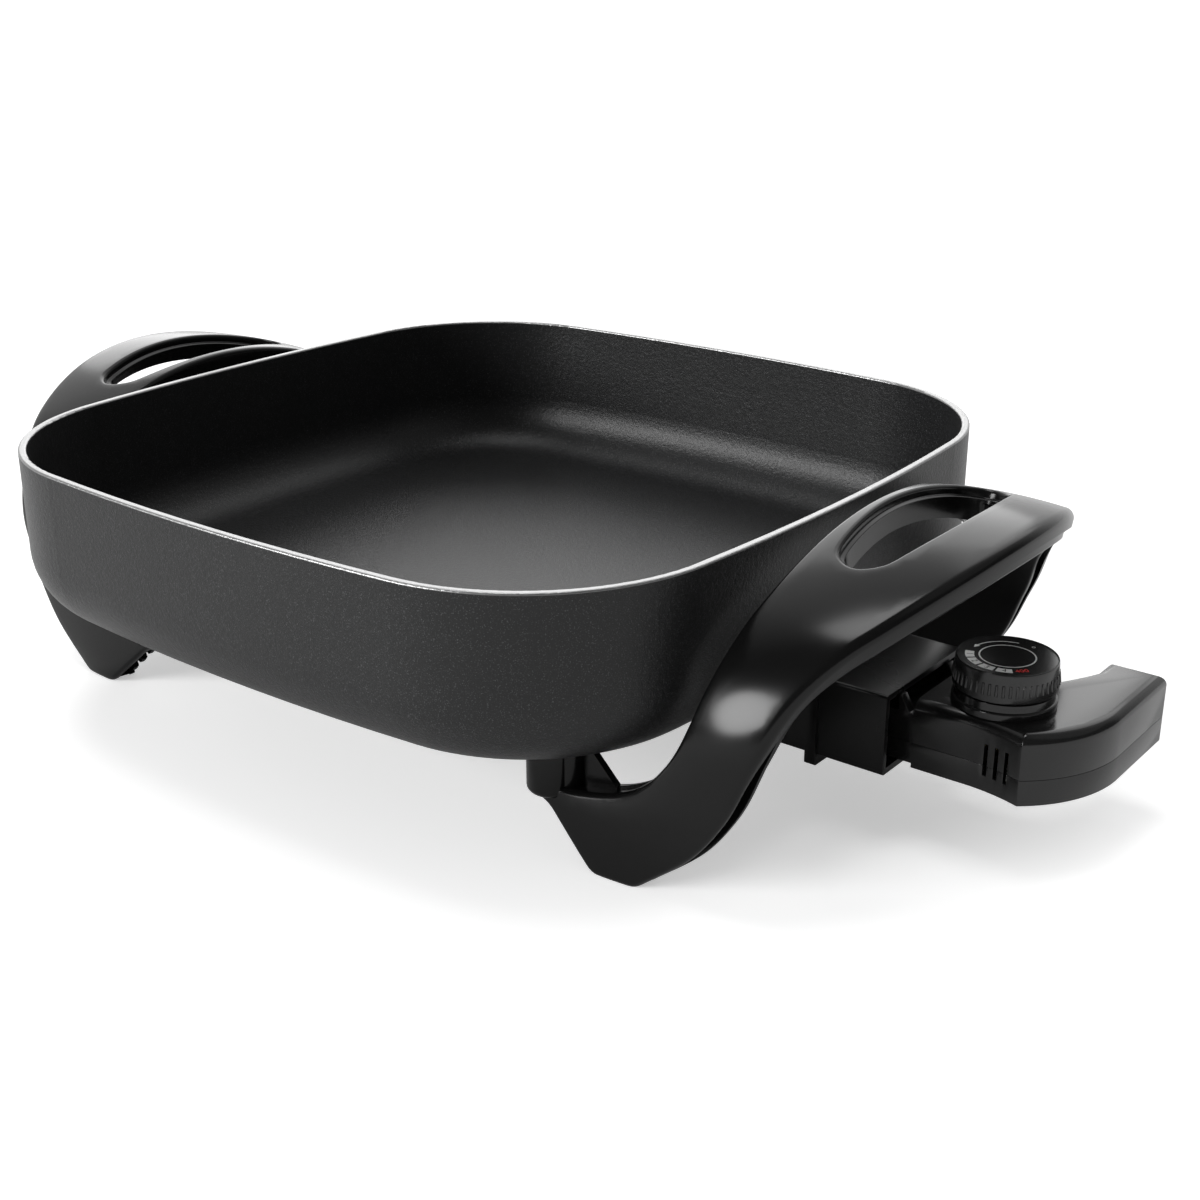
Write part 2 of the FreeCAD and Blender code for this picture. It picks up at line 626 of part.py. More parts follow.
def case_cavity():
    """Hollow inside the heat control, open at the neck's end."""
    low = CASE_BOTTOM_Z + CASE_WALL
    body = prism(case_outline(CASE_WALL, low), V(0, 0, CASE_TOP_Z - CASE_WALL - low))
    half = NECK_HALF_WIDTH - CASE_WALL
    neck = box(NECK_START_X - 1, NECK_END_X + CASE_WALL + 1, -half, half,
               NECK_BOTTOM_Z + CASE_WALL, NECK_TOP_Z - CASE_WALL)
    return body.fuse(neck)


def case_vents():
    """Upright slots in the flared front wall."""
    slots = []
    for index in range(VENT_COUNT):
        x = VENT_START_X + index * VENT_PITCH
        slots.append(box(x - VENT_WIDTH / 2, x + VENT_WIDTH / 2, -30, -14, VENT_LOW_Z, VENT_HIGH_Z))
    return Part.makeCompound(slots)


def inlet_centre():
    """Middle of the cord inlet on the arm's end face."""
    x = (CASE_ARM_X + CASE_SIDE[0]) / 2
    return V(x, CASE_ARM_END_Y, PLUG_AXIS_Z)


def case_shell(low, high):
    """Part of the hollow case between two heights, with its screw posts and openings."""
    layer = box(NECK_START_X - 5, 300, -100, 100, low, high)
    shell = case_block().cut(case_cavity())
    posts = []
    for x, y in CASE_SCREW_PLACES:
        posts.append(rod(CASE_POST_RADIUS, V(x, y, CASE_BOTTOM_Z + 0.5), V(0, 0, 1),
                         CASE_TOP_Z - CASE_BOTTOM_Z - 1.5))
    shell = shell.fuse(posts).common(layer)
    centre = inlet_centre()
    inlet = rod(INLET_SLEEVE_RADIUS, centre - V(0, 6, 0), V(0, 1, 0), 10)
    shaft = rod(BUSHING_RADIUS, V(DIAL_X, 0, CASE_TOP_Z - CASE_WALL - 0.5), V(0, 0, 1), 10)
    shell = shell.cut([inlet, shaft, case_vents()])
    return shell.removeSplitter()


def case_post_cuts(shell, radius, low, high):
    """Cut round holes through the case's posts."""
    for x, y in CASE_SCREW_PLACES:
        shell = shell.cut(rod(radius, V(x, y, low), V(0, 0, 1), high - low))
    return shell


def control_upper_shell():
    """Upper half of the case."""
    shell = case_shell(CASE_SEAM_Z, CASE_TOP_Z + CHEEK_HEIGHT + 5)
    return case_post_cuts(shell, CASE_SCREW_RADIUS, CASE_SEAM_Z - 1, CASE_SEAM_Z + 9)


def control_lower_shell():
    """Lower half of the case."""
    shell = case_shell(CASE_BOTTOM_Z - 5, CASE_SEAM_Z)
    shell = case_post_cuts(shell, CASE_SCREW_RADIUS + SCREW_CLEARANCE, CASE_BOTTOM_Z - 1, CASE_SEAM_Z + 1)
    recess_top = CASE_BOTTOM_Z + CASE_SCREW_RECESS
    recess = CASE_SCREW_HEAD_RADIUS + SCREW_CLEARANCE
    return case_post_cuts(shell, recess, CASE_BOTTOM_Z - 1, recess_top)


def case_screws():
    """Screws that close the case from below."""
    seat = CASE_BOTTOM_Z + CASE_SCREW_RECESS
    tip = CASE_SEAM_Z + 8
    return Part.makeCompound([screw(place, seat, tip, CASE_SCREW_RADIUS, CASE_SCREW_HEAD_RADIUS)
                              for place in CASE_SCREW_PLACES])


def thermostat_probe():
    """Round-tipped probe with the flange that seats on the switch frame."""
    flange_x = BLOCK_START_X + BLOCK_LENGTH
    length = flange_x - PROBE_TIP_X
    bar = rod(PROBE_RADIUS, V(PROBE_TIP_X, 0, PLUG_AXIS_Z), V(1, 0, 0), length)
    tip = [e for e in bar.Edges if e.BoundBox.XMax < PROBE_TIP_X + 0.01]
    bar = bar.makeFillet(PROBE_RADIUS * 0.8, tip)
    flange = rod(PROBE_FLANGE_RADIUS, V(flange_x, 0, PLUG_AXIS_Z), V(1, 0, 0), PROBE_FLANGE_THICKNESS)
    return bar.fuse(flange)


def terminal_block():
    """Ceramic block in the neck that carries the probe and the contact sleeves."""
    half = NECK_HALF_WIDTH - CASE_WALL
    block = box(BLOCK_START_X, BLOCK_START_X + BLOCK_LENGTH, -half, half,
                NECK_BOTTOM_Z + CASE_WALL, NECK_TOP_Z - CASE_WALL)
    sleeve = PIN_RADIUS + SLEEVE_CLEARANCE + SLEEVE_WALL
    start = V(BLOCK_START_X - 1, PIN_SPACING / 2, PLUG_AXIS_Z)
    holes = both_sides(rod(sleeve, start, V(1, 0, 0), BLOCK_LENGTH + 2))
    middle = rod(PROBE_RADIUS, V(BLOCK_START_X - 1, 0, PLUG_AXIS_Z), V(1, 0, 0), BLOCK_LENGTH + 2)
    return block.cut(holes + [middle])


def contact_sleeves():
    """Two sprung sleeves that take the terminal pins."""
    inner = PIN_RADIUS + SLEEVE_CLEARANCE
    start = V(BLOCK_START_X, PIN_SPACING / 2, PLUG_AXIS_Z)
    sleeve = rod(inner + SLEEVE_WALL, start, V(1, 0, 0), SLEEVE_LENGTH)
    sleeve = sleeve.cut(rod(inner, start, V(1, 0, 0), SLEEVE_LENGTH - 1.5))
    return Part.makeCompound(both_sides(sleeve))


def frame_plate_x():
    """Near face of the switch frame's upright plate."""
    return BLOCK_START_X + BLOCK_LENGTH + PROBE_FLANGE_THICKNESS


def thermostat_frame():
    """Bent plate that joins the probe to the switch and rests on the lower case."""
    x = frame_plate_x()
    sleeve = PIN_SPACING / 2 - PIN_RADIUS - SLEEVE_CLEARANCE - SLEEVE_WALL
    half = min(FRAME_HALF_WIDTH, sleeve - 0.3)
    upright = box(x, x + FRAME_THICKNESS, -half, half, FRAME_BASE_Z, NECK_TOP_Z - CASE_WALL - 0.2)
    base = box(x, FRAME_END_X, -half, half, FRAME_BASE_Z, FRAME_BASE_Z + FRAME_THICKNESS)
    foot = box(NECK_END_X + 18, FRAME_END_X - 2, -half, half, CASE_BOTTOM_Z + CASE_WALL, FRAME_BASE_Z)
    return upright.fuse([base, foot]).removeSplitter()


def blade_level(index):
    """Underside height of a switch blade."""
    start = FRAME_BASE_Z + FRAME_THICKNESS + 1.5
    return start + index * (BLADE_THICKNESS + BLADE_GAP)


def switch_blades():
    """Two spring blades, one above the other."""
    blades = []
    for index in range(2):
        low = blade_level(index)
        blades.append(box(BLADE_START_X, BLADE_START_X + BLADE_LENGTH, -BLADE_WIDTH / 2, BLADE_WIDTH / 2,
                          low, low + BLADE_THICKNESS))
    return Part.makeCompound(blades)


def switch_spacers():
    """Insulating stack that clamps the blades at their fixed end."""
    levels = [FRAME_BASE_Z + FRAME_THICKNESS, blade_level(0) + BLADE_THICKNESS,
              blade_level(1) + BLADE_THICKNESS]
    tops = [blade_level(0), blade_level(1), blade_level(1) + BLADE_THICKNESS + 1.5]
    half = BLADE_WIDTH / 2 + 0.5
    stack = [box(BLADE_START_X, BLADE_START_X + SPACER_LENGTH, -half, half, low, high)
             for low, high in zip(levels, tops)]
    return Part.makeCompound(stack)


def switch_contacts():
    """Silver contact buttons facing each other on the blades' free ends."""
    x = BLADE_START_X + BLADE_LENGTH - CONTACT_INSET
    low = blade_level(0) + BLADE_THICKNESS
    high = blade_level(1)
    height = (high - low - 0.4) / 2
    lower = rod(CONTACT_RADIUS, V(x, 0, low), V(0, 0, 1), height)
    upper = rod(CONTACT_RADIUS, V(x, 0, high - height), V(0, 0, 1), height)
    return Part.makeCompound([lower, upper])


def dial_bushing():
    """Bushing that guides the dial's shaft through the case top."""
    top = CASE_TOP_Z + BUSHING_RISE
    low = CASE_TOP_Z - CASE_WALL - BUSHING_DROP
    body = rod(BUSHING_RADIUS, V(DIAL_X, 0, low), V(0, 0, 1), top - low)
    nut = rod(BUSHING_RADIUS + 2, V(DIAL_X, 0, CASE_TOP_Z - CASE_WALL - 2), V(0, 0, 1), 2)
    hole = rod(SHAFT_RADIUS + SHAFT_CLEARANCE, V(DIAL_X, 0, low - 1), V(0, 0, 1), top - low + 2)
    return body.fuse(nut).cut(hole)


def dial_collar():
    """Two fixed rings on the case, one stepped inside the other."""
    low = rod(COLLAR_RADIUS, V(DIAL_X, 0, CASE_TOP_Z), V(0, 0, 1), COLLAR_STEP)
    rim = [e for e in low.Edges if e.BoundBox.ZMin > CASE_TOP_Z + COLLAR_STEP - 0.01]
    low = low.makeFillet(0.7, rim)
    top = DIAL_TOP_Z - DIAL_SKIRT_HEIGHT - DIAL_GAP
    high = rod(COLLAR_UPPER_RADIUS, V(DIAL_X, 0, CASE_TOP_Z), V(0, 0, 1), top - CASE_TOP_Z)
    hole = rod(COLLAR_HOLE_RADIUS, V(DIAL_X, 0, CASE_TOP_Z - 1), V(0, 0, 1), 12)
    return low.fuse(high).cut(hole)


def dial_knob():
    """Cup-shaped knob with a fluted skirt, a bevelled rim and a hub on the shaft."""
    low = DIAL_TOP_Z - DIAL_SKIRT_HEIGHT
    centre = V(DIAL_X, 0, low)
    body = rod(DIAL_RADIUS, centre, V(0, 0, 1), DIAL_SKIRT_HEIGHT)
    rim = [e for e in body.Edges if e.BoundBox.ZMin > DIAL_TOP_Z - 0.01]
    body = body.makeChamfer(DIAL_RADIUS * 0.04, rim)
    inside = rod(DIAL_RADIUS - DIAL_WALL, centre - V(0, 0, 1), V(0, 0, 1), DIAL_SKIRT_HEIGHT - DIAL_WALL + 1)
    body = body.cut(inside)
    hub = rod(DIAL_HUB_RADIUS, centre, V(0, 0, 1), DIAL_SKIRT_HEIGHT - DIAL_WALL / 2)
    body = body.fuse(hub)
    shaft_hole = rod(SHAFT_RADIUS, centre - V(0, 0, 1), V(0, 0, 1), DIAL_SKIRT_HEIGHT - DIAL_WALL)
    recess = rod(FACE_RADIUS, V(DIAL_X, 0, DIAL_TOP_Z - FACE_THICKNESS), V(0, 0, 1), 5)
    flutes = []
    for index in range(DIAL_RIB_COUNT):
        angle = 2 * math.pi * (index + 0.5) / DIAL_RIB_COUNT
        place = V(DIAL_X + DIAL_RADIUS * math.cos(angle), DIAL_RADIUS * math.sin(angle), low - 1)
        flutes.append(rod(DIAL_RIB_DEPTH, place, V(0, 0, 1), DIAL_SKIRT_HEIGHT - DIAL_RIM_HEIGHT + 1))
    return body.cut([shaft_hole, recess, Part.makeCompound(flutes)])


def dial_face():
    """Printed disc set in the knob's top."""
    return rod(FACE_RADIUS, V(DIAL_X, 0, DIAL_TOP_Z - FACE_THICKNESS), V(0, 0, 1), FACE_THICKNESS)


def dial_shaft():
    """Adjusting shaft that turns with the knob."""
    top = DIAL_TOP_Z - DIAL_WALL - 1
    return rod(SHAFT_RADIUS, V(DIAL_X, 0, SHAFT_FOOT_Z), V(0, 0, 1), top - SHAFT_FOOT_Z)


def cord_inlet_bushing():
    """Bushing in the arm's end face where the cord enters."""
    centre = inlet_centre()
    sleeve = rod(INLET_SLEEVE_RADIUS, centre - V(0, INLET_LENGTH - INLET_COLLAR_LENGTH, 0), V(0, 1, 0),
                 INLET_LENGTH - INLET_COLLAR_LENGTH)
    collar = rod(INLET_COLLAR_RADIUS, centre, V(0, 1, 0), INLET_COLLAR_LENGTH)
    edge = [e for e in collar.Edges if e.BoundBox.YMin > centre.y + INLET_COLLAR_LENGTH - 0.01]
    collar = collar.makeFillet(0.8, edge)
    bore = rod(INLET_RADIUS, centre - V(0, INLET_LENGTH, 0), V(0, 1, 0), 2 * INLET_LENGTH)
    return sleeve.fuse(collar).cut(bore)


NODES = (
    pan, heating_element, element_insulators, terminal_pins,
    left_handle, right_handle, handle_screws, terminal_guard, guard_screws,
    control_upper_shell, control_lower_shell, case_screws,
    thermostat_probe, terminal_block, contact_sleeves, thermostat_frame,
    switch_blades, switch_spacers, switch_contacts, dial_bushing, dial_collar, cord_inlet_bushing,
    dial_knob, dial_face, dial_shaft,
)


def main():
    """Write one file per node."""
    os.makedirs("parts", exist_ok=True)
    for build in NODES:
        shape = build()
        name = build.__name__
        print(name, len(shape.Solids), round(shape.Volume), shape.isValid())
        shape.exportStep("parts/" + name + ".step")


main()
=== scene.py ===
import logging
import math
from dataclasses import dataclass, field
from enum import Enum
from typing import Callable, Iterable, Sequence, Union

import bmesh
import bpy
import numpy as np
from mathutils import Matrix, Vector
from mathutils.geometry import delaunay_2d_cdt


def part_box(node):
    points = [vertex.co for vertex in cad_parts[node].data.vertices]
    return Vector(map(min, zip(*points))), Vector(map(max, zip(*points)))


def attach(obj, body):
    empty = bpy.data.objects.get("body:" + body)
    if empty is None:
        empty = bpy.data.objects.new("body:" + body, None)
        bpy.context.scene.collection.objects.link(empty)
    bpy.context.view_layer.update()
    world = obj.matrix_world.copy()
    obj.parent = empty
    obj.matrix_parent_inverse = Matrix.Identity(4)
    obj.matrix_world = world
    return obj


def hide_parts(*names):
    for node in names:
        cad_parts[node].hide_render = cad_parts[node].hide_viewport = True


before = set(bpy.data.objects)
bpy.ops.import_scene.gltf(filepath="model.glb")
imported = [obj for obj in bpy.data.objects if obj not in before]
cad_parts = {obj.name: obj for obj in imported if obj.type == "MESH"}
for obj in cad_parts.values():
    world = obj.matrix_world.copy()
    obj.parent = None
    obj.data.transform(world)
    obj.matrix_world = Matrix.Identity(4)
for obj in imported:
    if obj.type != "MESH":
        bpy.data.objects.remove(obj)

log = logging.getLogger("skillet")
MM = 0.001
MERGE_DISTANCE = 0.00001
SLIVER_SIDES = 8
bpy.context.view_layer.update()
Point2 = tuple[float, float]
Number = Union[float, "Value"]


class Body(Enum):
    """The rigid bodies that a piece can ride on."""

    SKILLET = "skillet"
    CONTROL = "heat_control"
    DIAL = "dial"


class Side(Enum):
    """Which handle is meant, as the sign of its X."""

    LEFT = -1.0
    RIGHT = 1.0


# Shader maths


class Value:
    """A shader socket that takes part in arithmetic; each operation adds a Math node."""

    def __init__(self, tree: "ShaderTree", socket: bpy.types.NodeSocket) -> None:
        """Wraps one output socket of a tree."""
        self.tree = tree
        self.socket = socket

    def _math(self, operation: str, first: Number, second: Number = 0.0, clamp: bool = False) -> "Value":
        """Adds a Math node.

        Args:
            operation: Blender's name of the operation.
            first: The left operand.
            second: The right operand.
            clamp: Whether the result is held between 0 and 1.

        Returns:
            The node's result.
        """
        node = self.tree.node("ShaderNodeMath", {"operation": operation, "use_clamp": clamp},
                              {0: first, 1: second})
        return node.out("Value")

    def __add__(self, other: Number) -> "Value":
        """Sum."""
        return self._math("ADD", self, other)

    def __radd__(self, other: Number) -> "Value":
        """Sum with a number on the left."""
        return self._math("ADD", other, self)

    def __sub__(self, other: Number) -> "Value":
        """Difference."""
        return self._math("SUBTRACT", self, other)

    def __rsub__(self, other: Number) -> "Value":
        """Difference from a number."""
        return self._math("SUBTRACT", other, self)

    def __mul__(self, other: Number) -> "Value":
        """Product."""
        return self._math("MULTIPLY", self, other)

    def __rmul__(self, other: Number) -> "Value":
        """Product with a number on the left."""
        return self._math("MULTIPLY", other, self)

    def __truediv__(self, other: Number) -> "Value":
        """Quotient."""
        return self._math("DIVIDE", self, other)

    def clamped(self) -> "Value":
        """This value held between 0 and 1."""
        return self._math("ADD", self, 0.0, clamp=True)

    def between(self, low: float, high: float) -> "Value":
        """Ramp that is 0 at low and 1 at high."""
        return ((self - low) / (high - low)).clamped()


@dataclass
class ShaderNode:
    """One node with its outputs as values."""

    tree: "ShaderTree"
    node: bpy.types.Node

    def out(self, name: Union[str, int]) -> Value:
        """An output socket as a value."""
        return Value(self.tree, self.node.outputs[name])


class ShaderTree:
    """A material's node tree."""

    def __init__(self, name: str) -> None:
        """Makes an empty material.

        Args:
            name: The material's name.
        """
        self.material = bpy.data.materials.new(name)
        self.material.use_nodes = True
        self.tree = self.material.node_tree
        self.tree.nodes.clear()

    @classmethod
    def over(cls, tree: bpy.types.NodeTree) -> "ShaderTree":
        """Wraps a node tree that has no material, emptied.

        Args:
            tree: The node tree, such as the world's.

        Returns:
            The wrapped tree.
        """
        made = cls.__new__(cls)
        made.tree = tree
        made.tree.nodes.clear()
        return made

    def node(self, kind: str, settings: dict[str, object],
             inputs: dict[Union[str, int], object]) -> ShaderNode:
        """Adds any node.

        Args:
            kind: The node's type name.
            settings: Properties set before the sockets.
            inputs: Socket names or numbers with a value or a link.

        Returns:
            The new node.
        """
        node = self.tree.nodes.new(kind)
        for key, value in settings.items():
            setattr(node, key, value)
        for key, value in inputs.items():
            if isinstance(value, Value):
                self.tree.links.new(value.socket, node.inputs[key])
            else:
                node.inputs[key].default_value = value
        return ShaderNode(self, node)

    def position(self) -> Value:
        """Object coordinates."""
        return self.node("ShaderNodeTexCoord", {}, {}).out("Object")

    def axes(self) -> tuple[Value, Value, Value]:
        """Object coordinates as X, Y and Z."""
        node = self.node("ShaderNodeSeparateXYZ", {}, {0: self.position()})
        return node.out("X"), node.out("Y"), node.out("Z")

    def noise(self, scale: float, detail: float = 2.0, roughness: float = 0.5) -> Value:
        """Noise on Object coordinates."""
        return self.node("ShaderNodeTexNoise", {}, {
            "Vector": self.position(), "Scale": scale, "Detail": detail, "Roughness": roughness}).out(0)

    def mix(self, share: Number, first: object, second: object) -> Value:
        """Mix of two colours."""
        return self.node("ShaderNodeMix", {"data_type": "RGBA"}, {0: share, 6: first, 7: second}).out(2)

    def bump(self, height: Value, strength: float, distance: float) -> Value:
        """Bump normal from a height."""
        return self.node("ShaderNodeBump", {}, {"Height": height, "Strength": strength,
                                                "Distance": distance}).out("Normal")

    def surface(self, inputs: dict[Union[str, int], object]) -> bpy.types.Material:
        """Ends the tree in a Principled shader.

        Args:
            inputs: The shader's sockets by name.

        Returns:
            The finished material.
        """
        shader = self.node("ShaderNodeBsdfPrincipled", {}, inputs)
        self.node("ShaderNodeOutputMaterial", {}, {"Surface": shader.out("BSDF")})
        return self.material


def grey(level: float) -> tuple[float, float, float, float]:
    """Neutral colour of a level."""
    return (level, level, level, 1.0)


def opaque(colour: Sequence[float], level: float = 1.0) -> tuple[float, ...]:
    """Colour at a level, with full alpha."""
    return tuple(level * part for part in colour) + (1.0,)


@dataclass(frozen=True)
class SpeckledCoating:
    """Satin non-stick coating with fine sparkle, worn back to bare metal at the rim."""

    name: str
    rim_z: float
    tint: tuple[float, float, float] = (0.95, 0.97, 1.0)
    base: float = 0.009
    fleck: float = 0.055
    fleck_range: Point2 = (0.60, 0.74)
    fleck_scale: float = 2300.0
    grain_scale: float = 620.0
    grain_depth: float = 0.00035
    roughness: float = 0.38
    roughness_spread: float = 0.10
    gloss: float = 0.34
    rim: float = 0.30
    rim_metallic: float = 0.9
    rim_roughness: float = 0.34
    worn_below_rim: Point2 = (0.0008, 0.00055)

    def build(self) -> bpy.types.Material:
        """Makes the material.

        Returns:
            The material.
        """
        tree = ShaderTree(self.name)
        _, _, height = tree.axes()
        fine = tree.noise(self.fleck_scale, 1.0)
        broad = tree.noise(self.grain_scale, 2.0)
        fleck = fine.between(*self.fleck_range)
        start, end = (self.rim_z - drop for drop in self.worn_below_rim)
        bare = height.between(start, end)
        coated = tree.mix(fleck, opaque(self.tint, self.base), opaque(self.tint, self.fleck))
        colour = tree.mix(bare, coated, grey(self.rim))
        coat = self.roughness + (broad - 0.5) * self.roughness_spread
        rough = coat * (1.0 - bare) + bare * self.rim_roughness
        grain = tree.bump(fine * 0.6 + broad * 0.8, 0.5, self.grain_depth)
        return tree.surface({"Base Color": colour, "Roughness": rough, "Metallic": bare * self.rim_metallic,
                             "Normal": grain, "Specular IOR Level": self.gloss})


@dataclass(frozen=True)
class PolishedPlastic:
    """Black moulded plastic with a faint flow ripple under a polished skin."""

    name: str
    level: float = 0.003
    level_range: Point2 = (0.8, 1.3)
    roughness: float = 0.13
    roughness_spread: float = 0.05
    ripple: float = 0.00006
    ripple_scale: float = 38.0
    grain_scale: float = 900.0
    gloss: float = 0.42

    def build(self) -> bpy.types.Material:
        """Makes the material.

        Returns:
            The material.
        """
        tree = ShaderTree(self.name)
        slow = tree.noise(self.ripple_scale, 2.0)
        fine = tree.noise(self.grain_scale, 1.0)
        dark, light = (grey(self.level * share) for share in self.level_range)
        colour = tree.mix(fine, dark, light)
        rough = self.roughness + (slow - 0.5) * self.roughness_spread
        normal = tree.bump(slow + fine * 0.08, 0.35, self.ripple)
        return tree.surface({"Base Color": colour, "Roughness": rough, "Normal": normal,
                             "Specular IOR Level": self.gloss})


@dataclass(frozen=True)
class DrawnMetal:
    """Bare metal with fine draw lines and slight discolouring."""

    name: str
    colour: tuple[float, float, float]
    stain: tuple[float, float, float]
    roughness: float = 0.32
    roughness_spread: float = 0.14
    cloud_scale: float = 70.0
    cloud_range: Point2 = (0.42, 0.68)
    line_scale: float = 1400.0
    line_depth: float = 0.00005

    def build(self) -> bpy.types.Material:
        """Makes the material.

        Returns:
            The material.
        """
        tree = ShaderTree(self.name)
        cloud = tree.noise(self.cloud_scale, 3.0)
        lines = tree.noise(self.line_scale, 1.0)
        colour = tree.mix(cloud.between(*self.cloud_range), opaque(self.colour), opaque(self.stain))
        rough = self.roughness + (lines - 0.5) * self.roughness_spread
        return tree.surface({"Base Color": colour, "Roughness": rough, "Metallic": 1.0,
                             "Normal": tree.bump(lines, 0.2, self.line_depth)})


@dataclass(frozen=True)
class MatteSolid:
    """Unpolished ceramic or rubber with a fine grain."""

    name: str
    colour: tuple[float, float, float]
    shade: float = 0.8
    roughness: float = 0.7
    roughness_spread: float = 0.1
    grain_scale: float = 1500.0
    grain_depth: float = 0.0001

    def build(self) -> bpy.types.Material:
        """Makes the material.

        Returns:
            The material.
        """
        tree = ShaderTree(self.name)
        grain = tree.noise(self.grain_scale, 2.0)
        colour = tree.mix(grain, opaque(self.colour, self.shade), opaque(self.colour))
        rough = self.roughness + (grain - 0.5) * self.roughness_spread
        return tree.surface({"Base Color": colour, "Roughness": rough,
                             "Normal": tree.bump(grain, 0.3, self.grain_depth)})


@dataclass(frozen=True)
class PrintInk:
    """Flat print on the dial, thinned by wear."""

    name: str
    colour: tuple[float, float, float]
    worn_level: float = 0.8
    wear_scale: float = 1800.0
    wear_range: Point2 = (0.3, 0.9)
    roughness: float = 0.35

    def build(self) -> bpy.types.Material:
        """Makes the material.

        Returns:
            The material.
        """
        tree = ShaderTree(self.name)
        wear = tree.noise(self.wear_scale, 2.0).between(*self.wear_range)
        colour = tree.mix(wear, opaque(self.colour), opaque(self.colour, self.worn_level))
        return tree.surface({"Base Color": colour, "Roughness": self.roughness})


@dataclass
class Finishes:
    """All the object's materials, made once."""

    made: dict[str, bpy.types.Material] = field(default_factory=dict)

    def build(self, rim_z: float) -> None:
        """Makes every finish.

        Args:
            rim_z: Height of the pan's rim in metres.
        """
        specs = (
            SpeckledCoating("coating", rim_z),
            PolishedPlastic("handle_black", roughness=0.19, gloss=0.26),
            PolishedPlastic("guard_black", level=0.004, roughness=0.28, gloss=0.2),
            PolishedPlastic("case_black", level=0.006, roughness=0.18, gloss=0.45),
            PolishedPlastic("dial_black", level=0.012, roughness=0.22, gloss=0.5, ripple=0.00003),
            PolishedPlastic("face_black", level=0.010, roughness=0.2, ripple=0.00002),
            DrawnMetal("sheath_steel", (0.36, 0.35, 0.33), (0.24, 0.20, 0.17), 0.42),
            DrawnMetal("bright_steel", (0.62, 0.62, 0.62), (0.52, 0.52, 0.5), 0.28),
            DrawnMetal("sprung_brass", (0.72, 0.55, 0.28), (0.55, 0.4, 0.2), 0.3),
            MatteSolid("white_ceramic", (0.78, 0.76, 0.7), 0.9),
            MatteSolid("black_rubber", (0.012, 0.012, 0.012), 0.7, 0.6),
            PrintInk("pale_ink", (0.74, 0.75, 0.74)),
            PrintInk("red_ink", (0.80, 0.02, 0.015)),
        )
        for spec in specs:
            self.made[spec.name] = spec.build()

    def dress(self, obj: bpy.types.Object, name: str) -> None:
        """Gives an object one finish."""
        obj.data.materials.clear()
        obj.data.materials.append(self.made[name])


FINISH = Finishes()


# Meshes


def add_mesh(name: str, vertices: np.ndarray, faces: Sequence[Sequence[int]], crease: float = 32.0,
             closed: bool = True) -> bpy.types.Object:
    """Makes a smooth-shaded object.

    Args:
        name: The object's name.
        vertices: Rows of X, Y and Z in millimetres.
        faces: Vertex numbers of each face.
        crease: Angle in degrees above which an edge stays sharp.
        closed: Whether the mesh is a solid, not a flat print.

    Returns:
        The new object, linked to the scene.
    """
    mesh = bpy.data.meshes.new(name)
    mesh.from_pydata((np.asarray(vertices) * MM).tolist(), [], [list(map(int, face)) for face in faces])
    mesh.validate()
    clean_mesh(mesh, closed)
    mesh.shade_smooth()
    mesh.set_sharp_from_angle(angle=math.radians(crease))
    obj = bpy.data.objects.new(name, mesh)
    bpy.context.scene.collection.objects.link(obj)
    return obj


def clean_mesh(mesh: bpy.types.Mesh, closed: bool) -> None:
    """Merges doubled vertices, closes slivers in a solid and turns all faces outwards.

    Args:
        mesh: The mesh to clean.
        closed: Whether the mesh is a solid.
    """
    work = bmesh.new()
    work.from_mesh(mesh)
    bmesh.ops.remove_doubles(work, verts=work.verts, dist=MERGE_DISTANCE)
    if closed:
        slivers = [edge for edge in work.edges if edge.is_boundary]
        bmesh.ops.holes_fill(work, edges=slivers, sides=SLIVER_SIDES)
    bmesh.ops.recalc_face_normals(work, faces=work.faces)
    work.to_mesh(mesh)
    work.free()


def place(obj: bpy.types.Object, body: Body, finish: str, nodes: Iterable[str] = ()) -> None:
    """Dresses a piece, hangs it on its body and hides the frame's nodes that it stands for.

    Args:
        obj: The piece.
        body: The body that it rides on.
        finish: Name of its finish.
        nodes: CAD nodes that it stands for.
    """
    FINISH.dress(obj, finish)
    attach(obj, body.value)
    names = list(nodes)
    if names:
        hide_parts(*names)
    log.info("%s on %s: %d faces", obj.name, body.value, len(obj.data.polygons))


def smooth_curve(keys: Sequence[Point2]) -> Callable[[np.ndarray], np.ndarray]:
    """Smooth function through key points.

    Args:
        keys: Points in rising order of their first value.

    Returns:
        A function that interpolates the second value.
    """
    xs = np.array([key[0] for key in keys], float)
    ys = np.array([key[1] for key in keys], float)
    slopes = np.gradient(ys, xs)

    def value(at: np.ndarray) -> np.ndarray:
        """Hermite interpolation, straight beyond the ends.

        Args:
            at: Places along the first value.

        Returns:
            The second value there.
        """
        at = np.asarray(at, float)
        index = np.clip(np.searchsorted(xs, at) - 1, 0, len(xs) - 2)
        step = xs[index + 1] - xs[index]
        t = (at - xs[index]) / step
        inner = ((1 + 2 * t) * (1 - t) ** 2 * ys[index] + t * (1 - t) ** 2 * step * slopes[index]
                 + t ** 2 * (3 - 2 * t) * ys[index + 1] + t ** 2 * (t - 1) * step * slopes[index + 1])
        inner = np.where(at < xs[0], ys[0] + slopes[0] * (at - xs[0]), inner)
        return np.where(at > xs[-1], ys[-1] + slopes[-1] * (at - xs[-1]), inner)

    return value


def smooth_step(at: np.ndarray, start: float, end: float) -> np.ndarray:
    """Smooth rise from 0 at the start to 1 at the end."""
    share = np.clip((at - start) / (end - start), 0, 1)
    return share * share * (3 - 2 * share)


